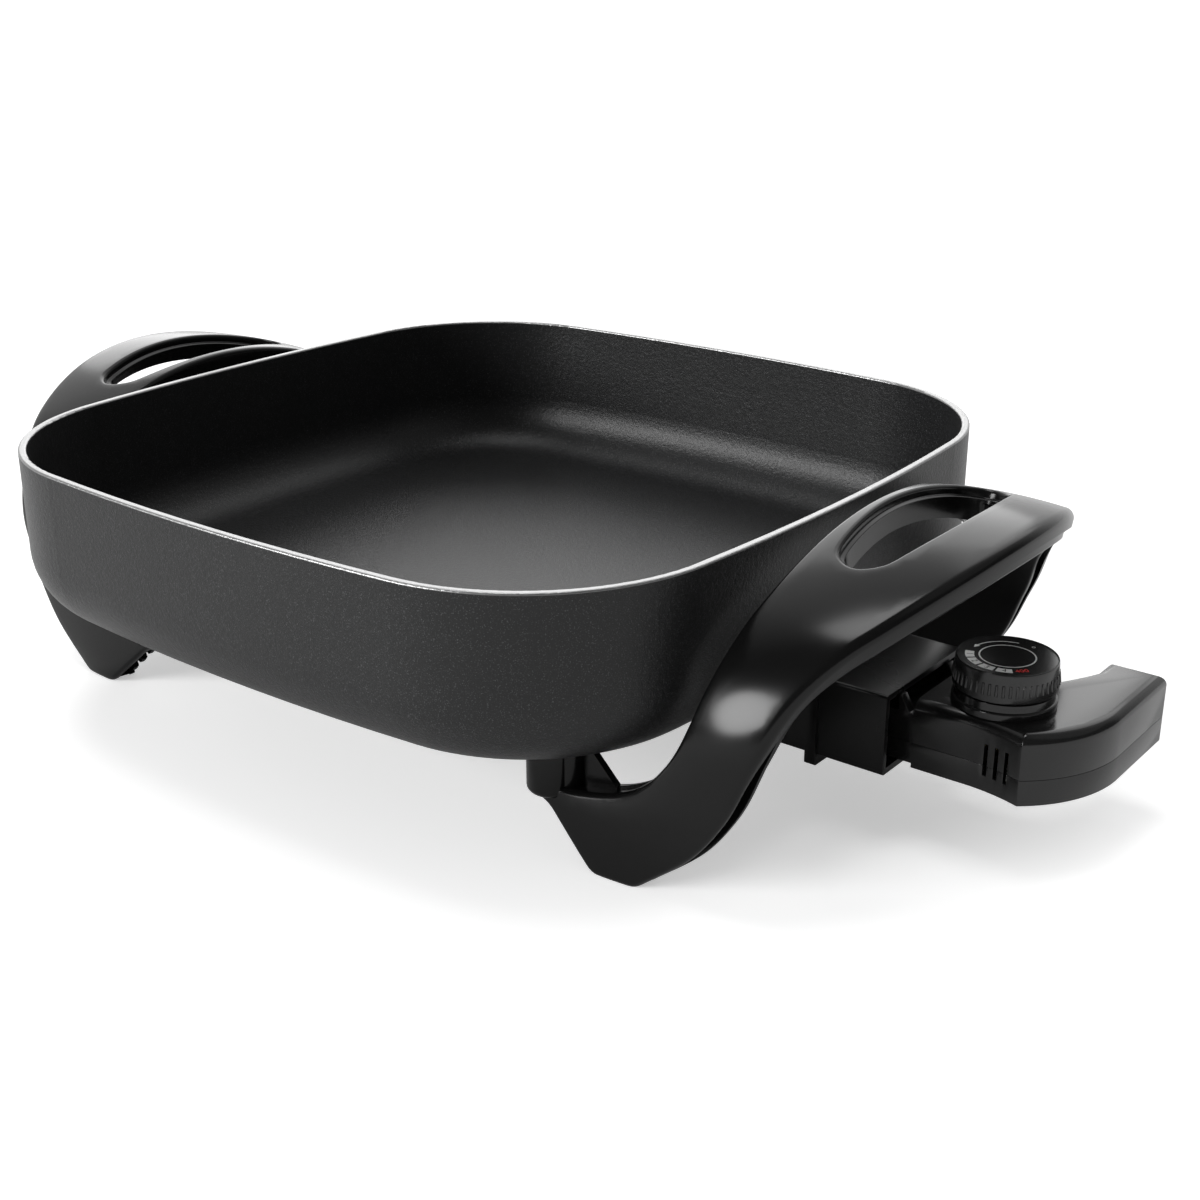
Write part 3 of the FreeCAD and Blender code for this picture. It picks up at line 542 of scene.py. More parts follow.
def resample(loop: np.ndarray, spacing: float) -> np.ndarray:
    """Closed loop with evenly spaced points.

    Args:
        loop: Points of the closed loop.
        spacing: Distance between the new points.

    Returns:
        The new loop.
    """
    closed = np.vstack([loop, loop[:1]])
    run = np.r_[0, np.cumsum(np.linalg.norm(np.diff(closed, axis=0), axis=1))]
    count = max(8, int(round(run[-1] / spacing)))
    at = np.linspace(0, run[-1], count, endpoint=False)
    return np.column_stack([np.interp(at, run, closed[:, axis]) for axis in range(2)])


def outward_miters(loop: np.ndarray) -> np.ndarray:
    """Offset direction at each point of an anticlockwise loop, longer at corners.

    Args:
        loop: Points of the closed loop.

    Returns:
        One direction for each point; a step of one along it moves both sides by one.
    """
    ahead = np.roll(loop, -1, axis=0) - loop
    ahead /= np.linalg.norm(ahead, axis=1, keepdims=True)
    behind = np.roll(ahead, 1, axis=0)
    normal_a = np.column_stack([ahead[:, 1], -ahead[:, 0]])
    normal_b = np.column_stack([behind[:, 1], -behind[:, 0]])
    total = normal_a + normal_b
    return total / (1 + np.sum(normal_a * normal_b, axis=1, keepdims=True))


def anticlockwise(loop: np.ndarray) -> np.ndarray:
    """Puts a loop in anticlockwise order.

    Args:
        loop: Points of the closed loop.

    Returns:
        The loop, turned round where it ran clockwise.
    """
    x, y = loop[:, 0], loop[:, 1]
    area = np.sum(x * np.roll(y, -1) - np.roll(x, -1) * y)
    return loop if area > 0 else loop[::-1]


def soften(loop: np.ndarray, corner: Point2, reach: float) -> np.ndarray:
    """Rounds one corner of a dense loop.

    Args:
        loop: Dense closed loop.
        corner: Where the corner is.
        reach: How far along each side the rounding starts.

    Returns:
        The loop with the corner replaced by a smooth bend.
    """
    distance = np.linalg.norm(loop - np.array(corner), axis=1)
    centre = int(np.argmin(distance))
    rolled = np.roll(loop, len(loop) // 2 - centre, axis=0)
    near = np.linalg.norm(rolled - loop[centre], axis=1) < reach
    middle = len(loop) // 2
    first = middle
    while near[first - 1]:
        first -= 1
    last = middle
    while near[last + 1]:
        last += 1
    start, end = rolled[first - 1], rolled[last + 1]
    t = np.linspace(0, 1, 12)[1:-1, None]
    bend = (1 - t) ** 2 * start + 2 * t * (1 - t) * loop[centre] + t ** 2 * end
    return np.vstack([rolled[:first], bend, rolled[last + 1:]])


def inside(points: np.ndarray, loop: np.ndarray) -> np.ndarray:
    """Whether each point lies in a loop.

    Args:
        points: The points to test.
        loop: Points of the closed loop.

    Returns:
        True for each point inside.
    """
    x, y = points[:, 0][:, None], points[:, 1][:, None]
    ax, ay = loop[:, 0], loop[:, 1]
    bx, by = np.roll(ax, -1), np.roll(ay, -1)
    spans = (ay > y) != (by > y)
    cross = ax + (y - ay) * (bx - ax) / np.where(by == ay, 1e-9, by - ay)
    return np.sum(spans & (x < cross), axis=1) % 2 == 1


@dataclass
class PlateSkin:
    """Builds a rounded plate from loops: caps at both ends and strips along its edges."""

    vertices: list[np.ndarray] = field(default_factory=list)
    faces: list[list[int]] = field(default_factory=list)
    count: int = 0
    edge_clearance: float = 0.6
    merge: float = 1e-5

    def add(self, points: np.ndarray) -> int:
        """Adds points.

        Args:
            points: Rows of X, Y and Z.

        Returns:
            The number of the first.
        """
        first = self.count
        self.vertices.append(points)
        self.count += len(points)
        return first

    def strip(self, rings: Sequence[np.ndarray]) -> None:
        """Joins closed rings of equal length.

        Args:
            rings: The rings in order.
        """
        starts = [self.add(ring) for ring in rings]
        size = len(rings[0])
        for low, high in zip(starts, starts[1:]):
            for index in range(size):
                after = (index + 1) % size
                self.faces.append([low + index, low + after, high + after, high + index])

    def cap(self, outer: np.ndarray, holes: Sequence[np.ndarray], spacing: float,
            height: Callable[[np.ndarray], np.ndarray]) -> None:
        """Fills the flat region inside a loop and outside its holes.

        Args:
            outer: Outer loop in the plate's plane.
            holes: Inner loops.
            spacing: Distance between the points inside.
            height: Height over the plane at given points.
        """
        loops = [outer, *holes]
        low, high = outer.min(axis=0), outer.max(axis=0)
        grid = np.stack(np.meshgrid(np.arange(low[0], high[0], spacing),
                                    np.arange(low[1], high[1], spacing)), axis=-1).reshape(-1, 2)
        keep = inside(grid, outer)
        for hole in holes:
            keep &= ~inside(grid, hole)
        grid = grid[keep]
        edge = np.vstack(loops)
        clearance = spacing * self.edge_clearance
        grid = grid[[np.min(np.linalg.norm(edge - point, axis=1)) > clearance for point in grid]]
        edges, start = [], 0
        for loop in loops:
            edges += [(start + i, start + (i + 1) % len(loop)) for i in range(len(loop))]
            start += len(loop)
        points = np.vstack([edge, grid])
        made = delaunay_2d_cdt([Vector(point) for point in points], edges, [], 0, self.merge)
        flat = np.array([tuple(corner) for corner in made[0]])
        triangles = np.array(made[2])
        centres = flat[triangles].mean(axis=1)
        keep = inside(centres, outer)
        for hole in holes:
            keep &= ~inside(centres, hole)
        first = self.add(np.column_stack([flat, height(flat)]))
        self.faces += (triangles[keep] + first).tolist()

    def points(self) -> np.ndarray:
        """All the points in order."""
        return np.vstack(self.vertices)


# The leg handles


@dataclass
class Handle:
    """Leg handle as a moulded plate with two skins, bent over an arch. Sizes in millimetres."""

    side: Side
    rim_z: float = 106.0
    arch_rise: float = 4.45
    crown_radius: float = 155.0
    shoulder_start: float = 70.0
    shoulder_radius: float = 54.0
    leg_lean: float = 5.0
    reach: float = 219.2
    outer_blend: float = 2.0
    plan_radius: float = 150.0
    thickness: float = 12.0
    groove: float = 12.0
    groove_inset: float = 0.5
    groove_fade: Point2 = (2.0, 16.0)
    notch: float = 6.5
    notch_wave: Point2 = (0.62, 0.38)
    notch_steepness: float = 5.0
    notch_pitch: float = 7.5
    edge_round: float = 1.7
    grip_edge_round: float = 3.2
    grip_edge_width: float = 6.0
    grip_from: Point2 = (38.0, 78.0)
    back_round: float = 1.0
    gap: tuple[float, float] = (3.0, 9.2)
    grip_gap: tuple[float, float] = (6.2, 8.2)
    back_inset: float = -0.4
    grip_back_inset: float = 2.2
    slot_round: float = 1.6
    slot_wall: float = 5.2
    slot_ledge: float = 1.3
    hollow_width: float = 6.5
    hollow_from: Point2 = (178.0, 192.0)
    crown: float = 1.3
    spacing: float = 1.25
    fine_spacing: float = 0.4
    outer_face_spacing: float = 3.0
    inner_face_spacing: float = 4.0
    groove_reach: float = 3.0
    notch_reach: float = 1.2
    corner_reach: tuple[float, float, float, float] = (2.2, 2.6, 3.0, 3.0)
    outer_keys: tuple[Point2, ...] = (
        (0, 138.9), (16.7, 158.9), (30.5, 169.0), (48.3, 177.3), (65.0, 185.5), (84.0, 197.0),
        (100.0, 212.0), (116.0, 234.0))
    inner_keys: tuple[Point2, ...] = (
        (24.1, 102.4), (25.5, 111.2), (27.1, 119.3), (29.2, 127.2), (32.2, 134.3), (36.8, 140.8),
        (43.2, 146.4), (50.6, 150.8), (59.5, 154.1), (69.0, 156.4), (80.0, 158.8), (95.4, 161.4),
        (116.0, 163.2))
    boss_at: Point2 = (104.0, 92.0)
    boss_radius: float = 8.2
    boss_bore: float = 0.6
    boss_low: float = 18.0
    boss_high: float = 37.0
    cheek_at: Point2 = (100.5, 95.5)
    cheek_radius: float = 8.6
    cheek_round: float = 2.5
    cheek_low: float = 20.5
    web_run: float = 24.0
    web_back: float = 4.0
    web_foot: Point2 = (4.0, 8.0)
    web_drop: float = 12.0
    web_thickness: float = 2.6
    foot_inner: Point2 = (122.6, 0.0)
    foot_outer: Point2 = (138.9, 0.0)
    toe: Point2 = (102.8, 17.9)
    toe_end: Point2 = (95.0, 20.6)
    slot_inner: float = 167.5
    slot_outer: float = 197.0
    slot_half: float = 48.5
    slot_inner_bow: float = 3.5
    slot_outer_bow: float = 6.0
    slot_shoulder: float = 0.8
    crease: float = 40.0

    def __post_init__(self) -> None:
        """Works out the arch's turns and lengths."""
        self.turn = math.asin(self.shoulder_start / self.crown_radius)
        self.steep = math.radians(90 - self.leg_lean)
        self.crown_z = self.rim_z + self.arch_rise - self.crown_radius
        step = self.crown_radius - self.shoulder_radius
        self.hub = (step * math.sin(self.turn), self.crown_z + step * math.cos(self.turn))
        self.crown_run = self.crown_radius * self.turn
        self.shoulder_run = self.shoulder_radius * (self.steep - self.turn)
        knee_z = self.hub[1] + self.shoulder_radius * math.cos(self.steep)
        self.leg_run = knee_z / math.sin(self.steep)
        self.half_run = self.crown_run + self.shoulder_run + self.leg_run

    def arch(self, run: np.ndarray) -> tuple[np.ndarray, np.ndarray, np.ndarray, np.ndarray]:
        """The arch at a distance along it.

        Args:
            run: Signed distances from the grip's middle.

        Returns:
            Y, Z and the outward normal's Y and Z.
        """
        sign = np.where(run < 0, -1.0, 1.0)
        at = np.abs(run)
        on_crown = at / self.crown_radius
        on_shoulder = self.turn + (at - self.crown_run) / self.shoulder_radius
        angle = np.clip(np.where(at < self.crown_run, on_crown, on_shoulder), 0, self.steep)
        beyond = np.maximum(0, at - self.crown_run - self.shoulder_run)
        crown = at < self.crown_run
        sine, cosine = np.sin(angle), np.cos(angle)
        y = np.where(crown, self.crown_radius * sine, self.hub[0] + self.shoulder_radius * sine)
        z = np.where(crown, self.crown_z + self.crown_radius * cosine,
                     self.hub[1] + self.shoulder_radius * cosine)
        y = y + beyond * math.cos(self.steep)
        z = z - beyond * math.sin(self.steep)
        return sign * y, z, sign * sine, cosine

    def run_at_height(self, z: float) -> float:
        """Distance along the arch where the outer surface is at a height.

        Args:
            z: The height.

        Returns:
            The distance from the grip's middle.
        """
        runs = np.linspace(0, self.half_run, 2000)
        heights = self.arch(runs)[1]
        return float(np.interp(-z, -heights, runs))

    def outer_x(self, run: np.ndarray) -> np.ndarray:
        """X of the outer edge: the lesser of the side view's and the plan's, with a smooth change.

        Args:
            run: Signed distances from the grip's middle.

        Returns:
            X at each distance.
        """
        y, z, _, _ = self.arch(run)
        side = smooth_curve(self.outer_keys)(z)
        plan = self.reach - self.plan_radius + np.sqrt(np.maximum(self.plan_radius ** 2 - y ** 2, 0))
        gap = side - plan
        return 0.5 * (side + plan - np.sqrt(gap ** 2 + self.outer_blend ** 2))

    def outline(self) -> np.ndarray:
        """Closed outline of the unbent plate.

        Returns:
            X against distance along the arch, anticlockwise.
        """
        top = self.run_at_height(self.inner_keys[0][0])
        down = np.linspace(0, self.half_run, 420)
        outer = np.column_stack([self.outer_x(down), down])
        up = np.linspace(top, 0, 340)
        _, up_z, _, _ = self.arch(up)
        inner = np.column_stack([smooth_curve(self.inner_keys)(up_z), up])
        toe = np.array([[self.toe[0], self.run_at_height(self.toe[1])],
                        [self.toe_end[0], self.run_at_height(self.toe_end[1])]])
        foot = np.array([[self.foot_outer[0], self.half_run], [self.foot_inner[0], self.half_run]])
        half = np.vstack([outer[:-1], foot, toe, inner])
        other = half[::-1] * np.array([1.0, -1.0])
        loop = resample(np.vstack([half, other[1:-1]]), self.fine_spacing)
        corners = (self.foot_outer, self.foot_inner, self.toe, self.toe_end)
        for sign in (1, -1):
            for (x, z), reach in zip(corners, self.corner_reach):
                loop = soften(loop, (x, sign * self.run_at_height(z)), reach)
        return anticlockwise(resample(loop, self.spacing))

    def slot(self) -> np.ndarray:
        """Outline of the finger slot in the unbent plate.

        Returns:
            X against distance along the arch, anticlockwise.
        """
        shoulder = self.slot_half * self.slot_shoulder
        inner_x = self.slot_inner + self.slot_inner_bow
        outer_x = self.slot_outer - self.slot_outer_bow
        keys = [(self.slot_inner, 0.0), (self.slot_inner + 0.9, shoulder / 2), (inner_x, shoulder),
                (inner_x + 3.6, self.slot_half - 3.2), ((inner_x + outer_x) / 2, self.slot_half),
                (outer_x - 3.6, self.slot_half - 3.0), (outer_x, shoulder),
                (self.slot_outer - 1.5, shoulder / 2), (self.slot_outer, 0.0)]
        half = keys[:-1]
        other = [(x, -y) for x, y in reversed(keys[1:])]
        points = np.array(half + other)
        loop = catmull_loop(points, 24)
        return anticlockwise(resample(loop, self.spacing))

    def rise(self, points: np.ndarray) -> np.ndarray:
        """Height of the crowned outer skin over the plate's plane.

        Args:
            points: X and distance along the arch.

        Returns:
            The height at each point.
        """
        run = points[:, 1]
        _, z, _, _ = self.arch(run)
        outer = self.outer_x(run)
        inner = smooth_curve(self.inner_keys)(np.maximum(z, self.inner_keys[0][0]))
        share = np.clip((points[:, 0] - inner) / np.maximum(outer - inner, 1.0), 0, 1)
        return -self.crown * (2 * share - 1.0) ** 2

    def bend(self, flat: np.ndarray) -> np.ndarray:
        """Bends the plate over the arch.

        Args:
            flat: X, distance along the arch and height over the plate's plane.

        Returns:
            X, Y and Z.
        """
        y, z, normal_y, normal_z = self.arch(flat[:, 1])
        return np.column_stack([flat[:, 0] * self.side.value, y + normal_y * flat[:, 2],
                                np.maximum(z + normal_z * flat[:, 2], 0.0)])

    def edge_depth(self, loop: np.ndarray) -> np.ndarray:
        """Depth of the groove between the skins along the outer edge.

        Args:
            loop: Outline of the unbent plate.

        Returns:
            The depth at each point of the outline.
        """
        outer = self.outer_x(loop[:, 1])
        near = np.clip(1 - np.abs(loop[:, 0] - outer) / self.groove_reach, 0, 1)
        _, z, _, _ = self.arch(loop[:, 1])
        return self.groove * near * smooth_step(z, *self.groove_fade)

    def notch_depth(self, loop: np.ndarray) -> np.ndarray:
        """How far the ribbed back of the foot stands behind the outer skin along its sloping edge.

        Args:
            loop: Outline of the unbent plate.

        Returns:
            The depth at each point of the outline.
        """
        _, z, _, _ = self.arch(loop[:, 1])
        share = z / self.toe[1]
        line = self.foot_inner[0] + (self.toe[0] - self.foot_inner[0]) * share
        near = np.clip(1 - np.abs(loop[:, 0] - line) / self.notch_reach, 0, 1)
        near = near * (share > 0.04) * (share < 1.02)
        run = np.hypot(loop[:, 0] - self.foot_inner[0], z)
        middle, swing = self.notch_wave
        wave = middle + swing * np.tanh(self.notch_steepness * np.cos(run / self.notch_pitch * math.tau))
        return self.notch * near * wave

    def grip_share(self, loop: np.ndarray) -> np.ndarray:
        """One along the grip and the upper leg, zero near the foot."""
        _, z, _, _ = self.arch(loop[:, 1])
        return smooth_step(z, *self.grip_from)

    def edge_rings(self, loop: np.ndarray) -> list[np.ndarray]:
        """Rings of the plate's edge from the outer skin to the inner one.

        Args:
            loop: Outline of the unbent plate.

        Returns:
            The rings in plate coordinates.
        """
        miters = outward_miters(loop)
        grip = self.grip_share(loop)
        near = np.clip(1 - np.abs(loop[:, 0] - self.outer_x(loop[:, 1])) / self.grip_edge_width, 0, 1)
        radius = self.edge_round + (self.grip_edge_round - self.edge_round) * grip * near
        upper = self.gap[0] + (self.grip_gap[0] - self.gap[0]) * grip
        lower = self.gap[1] + (self.grip_gap[1] - self.gap[1]) * grip
        depth, notch = self.edge_depth(loop), self.notch_depth(loop)
        recess = np.maximum(depth, notch)
        wall = self.groove_inset + recess
        back_in = notch + self.back_inset + (self.grip_back_inset - self.back_inset) * grip * (depth > 1)
        turns = np.linspace(0, math.pi / 2, 8)
        rows = [(radius * (1 - math.sin(turn)), -radius * (1 - math.cos(turn))) for turn in turns]
        rows += [(0.1, -upper + 0.3), (0.4 + 0.5 * recess, -upper), (wall, -upper - 0.05)]
        rows += [(wall, -lower + 0.05), (back_in + 0.5 * depth, -lower), (back_in, -lower - 0.3)]
        crowned = len(turns) + 2
        bend = self.back_round
        rows += [(back_in + bend * (1 - math.cos(turn)), -self.thickness + bend * (1 - math.sin(turn)))
                 for turn in np.linspace(0, math.pi / 2, 5)]
        rings = []
        for index, (inset, height) in enumerate(rows):
            flat = loop - miters * np.broadcast_to(inset, len(loop))[:, None]
            level = np.broadcast_to(height, len(loop)).astype(float)
            if index <= crowned:
                level = level + self.rise(flat)
            rings.append(np.column_stack([flat, level]))
        return rings

    def build(self) -> None:
        """Builds and dresses the handle."""
        skin = PlateSkin()
        outline, slot = self.outline(), self.slot()
        rings = self.edge_rings(outline)
        skin.strip(rings)
        slot_rings = self.slot_rings(slot)
        skin.strip([ring[::-1] for ring in slot_rings])
        skin.cap(rings[0][:, :2], [slot_rings[0][:, :2]], self.outer_face_spacing, self.rise)
        skin.cap(rings[-1][:, :2], [slot_rings[-1][:, :2]], self.inner_face_spacing, self.underside)
        parts = [(self.bend(skin.points()), skin.faces)]
        for end in (-1, 1):
            parts += [self.boss(end), self.cheek(end), self.gusset(end)]
        points, faces = gather(parts)
        side = self.side.name.lower()
        place(add_mesh("handle_" + side, points, faces, self.crease), Body.SKILLET, "handle_black",
              [side + "_handle"])

    def underside(self, points: np.ndarray) -> np.ndarray:
        """Height of the inner skin's face."""
        return np.full(len(points), -self.thickness)

    def slot_rings(self, slot: np.ndarray) -> list[np.ndarray]:
        """Rings down the slot's wall, with its rounded mouth, a ledge and the hollow under the grip.

        Args:
            slot: Outline of the slot in the unbent plate.

        Returns:
            The rings in plate coordinates.
        """
        miters = outward_miters(slot)
        mouth = [(self.slot_round * (1 - math.sin(turn)), -self.slot_round * (1 - math.cos(turn)))
                 for turn in np.linspace(0, math.pi / 2, 7)]
        ledge = self.slot_ledge
        wall = [(0.0, -3.2), (-0.3, -3.5), (0.3 - ledge, -3.7), (-ledge, -4.0), (-ledge, -self.slot_wall)]
        hollow = [(self.hollow_width, -self.slot_wall - 0.4), (self.hollow_width + 0.5, -self.thickness)]
        start, end = self.hollow_from
        outer_half = np.clip((slot[:, :1] - start) / (end - start), 0, 1)
        rings = []
        for grow, height in mouth + wall + hollow:
            reach = (grow + ledge) * outer_half - ledge if (grow, height) in hollow else grow
            flat = slot + miters * reach
            level = np.full(len(slot), height)
            if height > -self.thickness / 2:
                level = level + self.rise(flat)
            rings.append(np.column_stack([flat, level]))
        return rings

    def boss(self, end: int) -> tuple[np.ndarray, list[list[int]]]:
        """Round boss from the toe up to the pan, round the screw.

        Args:
            end: 1 for the rear leg, -1 for the front one.

        Returns:
            Vertices and faces.
        """
        radius = self.boss_radius
        bore = radius * self.boss_bore
        profile = [(bore, self.boss_low), (radius - 0.6, self.boss_low), (radius, self.boss_low + 0.6),
                   (radius, self.boss_high - 0.5), (radius - 0.5, self.boss_high), (bore, self.boss_high)]
        return lathe(profile, (self.boss_at[0] * self.side.value, self.boss_at[1] * end), 48)

    def cheek(self, end: int) -> tuple[np.ndarray, list[list[int]]]:
        """Round bulge of the toe beside the boss, up to the pan.

        Args:
            end: 1 for the rear leg, -1 for the front one.

        Returns:
            Vertices and faces.
        """
        radius, bend = self.cheek_radius, self.cheek_round
        profile = [(0.3, self.cheek_low), (radius * 0.5, self.cheek_low)]
        profile += [(radius - bend * (1 - math.sin(turn)), self.cheek_low + bend * (1 - math.cos(turn)))
                    for turn in np.linspace(0, math.pi / 2, 7)]
        profile += [(radius, self.boss_high - 0.5), (radius - 0.5, self.boss_high), (0.3, self.boss_high)]
        return lathe(profile, (self.cheek_at[0] * self.side.value, self.cheek_at[1] * end), 48)

    def gusset(self, end: int) -> tuple[np.ndarray, list[list[int]]]:
        """Web between the boss and the leg, sloping down from the pan.

        Args:
            end: 1 for the rear leg, -1 for the front one.

        Returns:
            Vertices and faces.
        """
        x, y = self.boss_at
        near, far = x - self.web_back, x + self.web_run
        near_low, far_low = (self.boss_low + rise for rise in self.web_foot)
        edge = [(near, near_low), (far, far_low), (far, self.boss_high - self.web_drop),
                (x + self.web_run / 2, self.boss_high), (x, self.boss_high)]
        half = self.web_thickness / 2
        points = [(px * self.side.value, (y + side * half) * end, pz) for side in (-1, 1) for px, pz in edge]
        count = len(edge)
        faces = [list(range(count)), list(range(2 * count - 1, count - 1, -1))]
        faces += [[i, count + i, count + (i + 1) % count, (i + 1) % count] for i in range(count)]
        return np.array(points, float), faces


def catmull_loop(points: np.ndarray, steps: int) -> np.ndarray:
    """Smooth closed loop through points.

    Args:
        points: Points of the closed loop.
        steps: Steps between two points.

    Returns:
        The dense loop.
    """
    out = []
    count = len(points)
    for index in range(count):
        a, b, c, d = (points[(index + shift) % count] for shift in (-1, 0, 1, 2))
        t = np.linspace(0, 1, steps, endpoint=False)[:, None]
        out.append(0.5 * (2 * b + (c - a) * t + (2 * a - 5 * b + 4 * c - d) * t ** 2
                          + (3 * b - 3 * c + d - a) * t ** 3))
    return np.vstack(out)


# Copies of the frame's own pieces, with their moulded edges softened


@dataclass
class Moulding:
    """A piece of the frame shown through a merged copy, whose hard edges get a small radius."""

    node: str
    body: Body
    finish: str
    slot: str
    edge: float = 0.5
    segments: int = 3
    angle: float = 38.0
    merge: float = 0.004
    flat_angle: float = 0.6

    def build(self) -> None:
        """Copies, softens and dresses the piece."""
        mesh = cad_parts[self.node].data.copy()
        work = bmesh.new()
        work.from_mesh(mesh)
        bmesh.ops.remove_doubles(work, verts=work.verts, dist=self.merge * MM)
        bmesh.ops.dissolve_degenerate(work, edges=work.edges, dist=self.merge * MM)
        bmesh.ops.dissolve_limit(work, angle_limit=math.radians(self.flat_angle), verts=work.verts,
                                 edges=work.edges)
        work.to_mesh(mesh)
        work.free()
        obj = bpy.data.objects.new(self.node + "_skin", mesh)
        bpy.context.scene.collection.objects.link(obj)
        bevel = obj.modifiers.new("edges", "BEVEL")
        bevel.width = self.edge * MM
        bevel.segments = self.segments
        bevel.limit_method = "ANGLE"
        bevel.angle_limit = math.radians(self.angle)
        bake(obj)
        obj.data.shade_smooth()
        obj.data.set_sharp_from_angle(angle=math.radians(self.angle))
        place(obj, self.body, self.finish, [self.node])


def bake(obj: bpy.types.Object) -> None:
    """Turns an object's modifiers into its mesh.

    Args:
        obj: The object.
    """
    depsgraph = bpy.context.evaluated_depsgraph_get()
    mesh = bpy.data.meshes.new_from_object(obj.evaluated_get(depsgraph))
    obj.modifiers.clear()
    obj.data = mesh


def dress_node(node: str, finish: str) -> None:
    """Gives a node of the frame its finish and leaves its shape alone.

    Args:
        node: The node's name.
        finish: Name of its finish.
    """
    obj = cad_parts[node]
    if not obj.material_slots:
        obj.data.materials.append(FINISH.made[finish])
    for holder in obj.material_slots:
        holder.material = FINISH.made[finish]
    log.info("%s dressed with %s", node, finish)


# The dial


class RingTree:
    """Geometry Nodes tree that repeats a piece round an upright axis."""

    INPUTS = (("Piece", "NodeSocketObject"), ("Count", "NodeSocketInt"), ("Radius", "NodeSocketFloat"),
              ("Centre", "NodeSocketVector"), ("Finish", "NodeSocketMaterial"))

    def __init__(self, name: str) -> None:
        """Builds the tree with its named inputs.

        Args:
            name: The tree's name.
        """
        self.tree = bpy.data.node_groups.new(name, "GeometryNodeTree")
        face = self.tree.interface
        face.new_socket("Geometry", in_out="INPUT", socket_type="NodeSocketGeometry")
        self.sockets = {label: face.new_socket(label, in_out="INPUT", socket_type=kind)
                        for label, kind in self.INPUTS}
        face.new_socket("Geometry", in_out="OUTPUT", socket_type="NodeSocketGeometry")
        given = self._add("NodeGroupInput")
        circle = self._add("GeometryNodeMeshCircle", {"Vertices": given.outputs["Count"],
                                                      "Radius": given.outputs["Radius"]})
        moved = self._add("GeometryNodeTransform", {"Geometry": circle.outputs["Mesh"],
                                                    "Translation": given.outputs["Centre"]})
        step = self._add("ShaderNodeMath", {0: math.tau, 1: given.outputs["Count"]}, operation="DIVIDE")
        index = self._add("GeometryNodeInputIndex")
        turn = self._add("ShaderNodeMath", {0: index.outputs[0], 1: step.outputs[0]}, operation="MULTIPLY")
        spin = self._add("ShaderNodeCombineXYZ", {"Z": turn.outputs[0]})
        source = self._add("GeometryNodeObjectInfo", {"Object": given.outputs["Piece"]})
        copies = self._add("GeometryNodeInstanceOnPoints", {"Points": moved.outputs["Geometry"],
                                                            "Instance": source.outputs["Geometry"],
                                                            "Rotation": spin.outputs[0]})
        real = self._add("GeometryNodeRealizeInstances", {"Geometry": copies.outputs["Instances"]})
        coloured = self._add("GeometryNodeSetMaterial", {"Geometry": real.outputs["Geometry"],
                                                         "Material": given.outputs["Finish"]})
        self._add("NodeGroupOutput", {"Geometry": coloured.outputs["Geometry"]})

    def _add(self, kind: str, inputs: Union[dict, None] = None, **settings: str) -> bpy.types.Node:
        """Adds a node.

        Args:
            kind: The node's type name.
            inputs: Socket names or numbers with a value or a link.
            settings: Properties of the node.

        Returns:
            The new node.
        """
        node = self.tree.nodes.new(kind)
        for key, value in settings.items():
            setattr(node, key, value)
        for key, value in (inputs or {}).items():
            if isinstance(value, bpy.types.NodeSocket):
                self.tree.links.new(value, node.inputs[key])
            else:
                node.inputs[key].default_value = value
        return node

    def make(self, name: str, values: dict[str, object]) -> bpy.types.Object:
        """Runs the tree.

        Args:
            name: Name of the result.
            values: The named inputs' values.

        Returns:
            An object with a plain mesh.
        """
        obj = bpy.data.objects.new(name, bpy.data.meshes.new(name))
        bpy.context.scene.collection.objects.link(obj)
        modifier = obj.modifiers.new("ring", "NODES")
        modifier.node_group = self.tree
        for label, value in values.items():
            modifier[self.sockets[label].identifier] = value
        bake(obj)
        return obj


def lathe(profile: Sequence[Point2], centre: Point2, steps: int = 128) -> tuple[np.ndarray, list[list[int]]]:
    """Turned solid.

    Args:
        profile: Radius and height from the axis below to the axis above; no radius is zero.
        centre: X and Y of the axis.
        steps: Points round the axis.

    Returns:
        Vertices and faces, closed at both ends.
    """
    skin = PlateSkin()
    angles = np.linspace(0, math.tau, steps, endpoint=False)
    rings = [np.column_stack([centre[0] + r * np.cos(angles), centre[1] + r * np.sin(angles),
                              np.full(steps, z)]) for r, z in profile]
    skin.strip(rings)
    skin.faces.append(list(range(steps))[::-1])
    skin.faces.append(list(range(skin.count - steps, skin.count)))
    return skin.points(), skin.faces


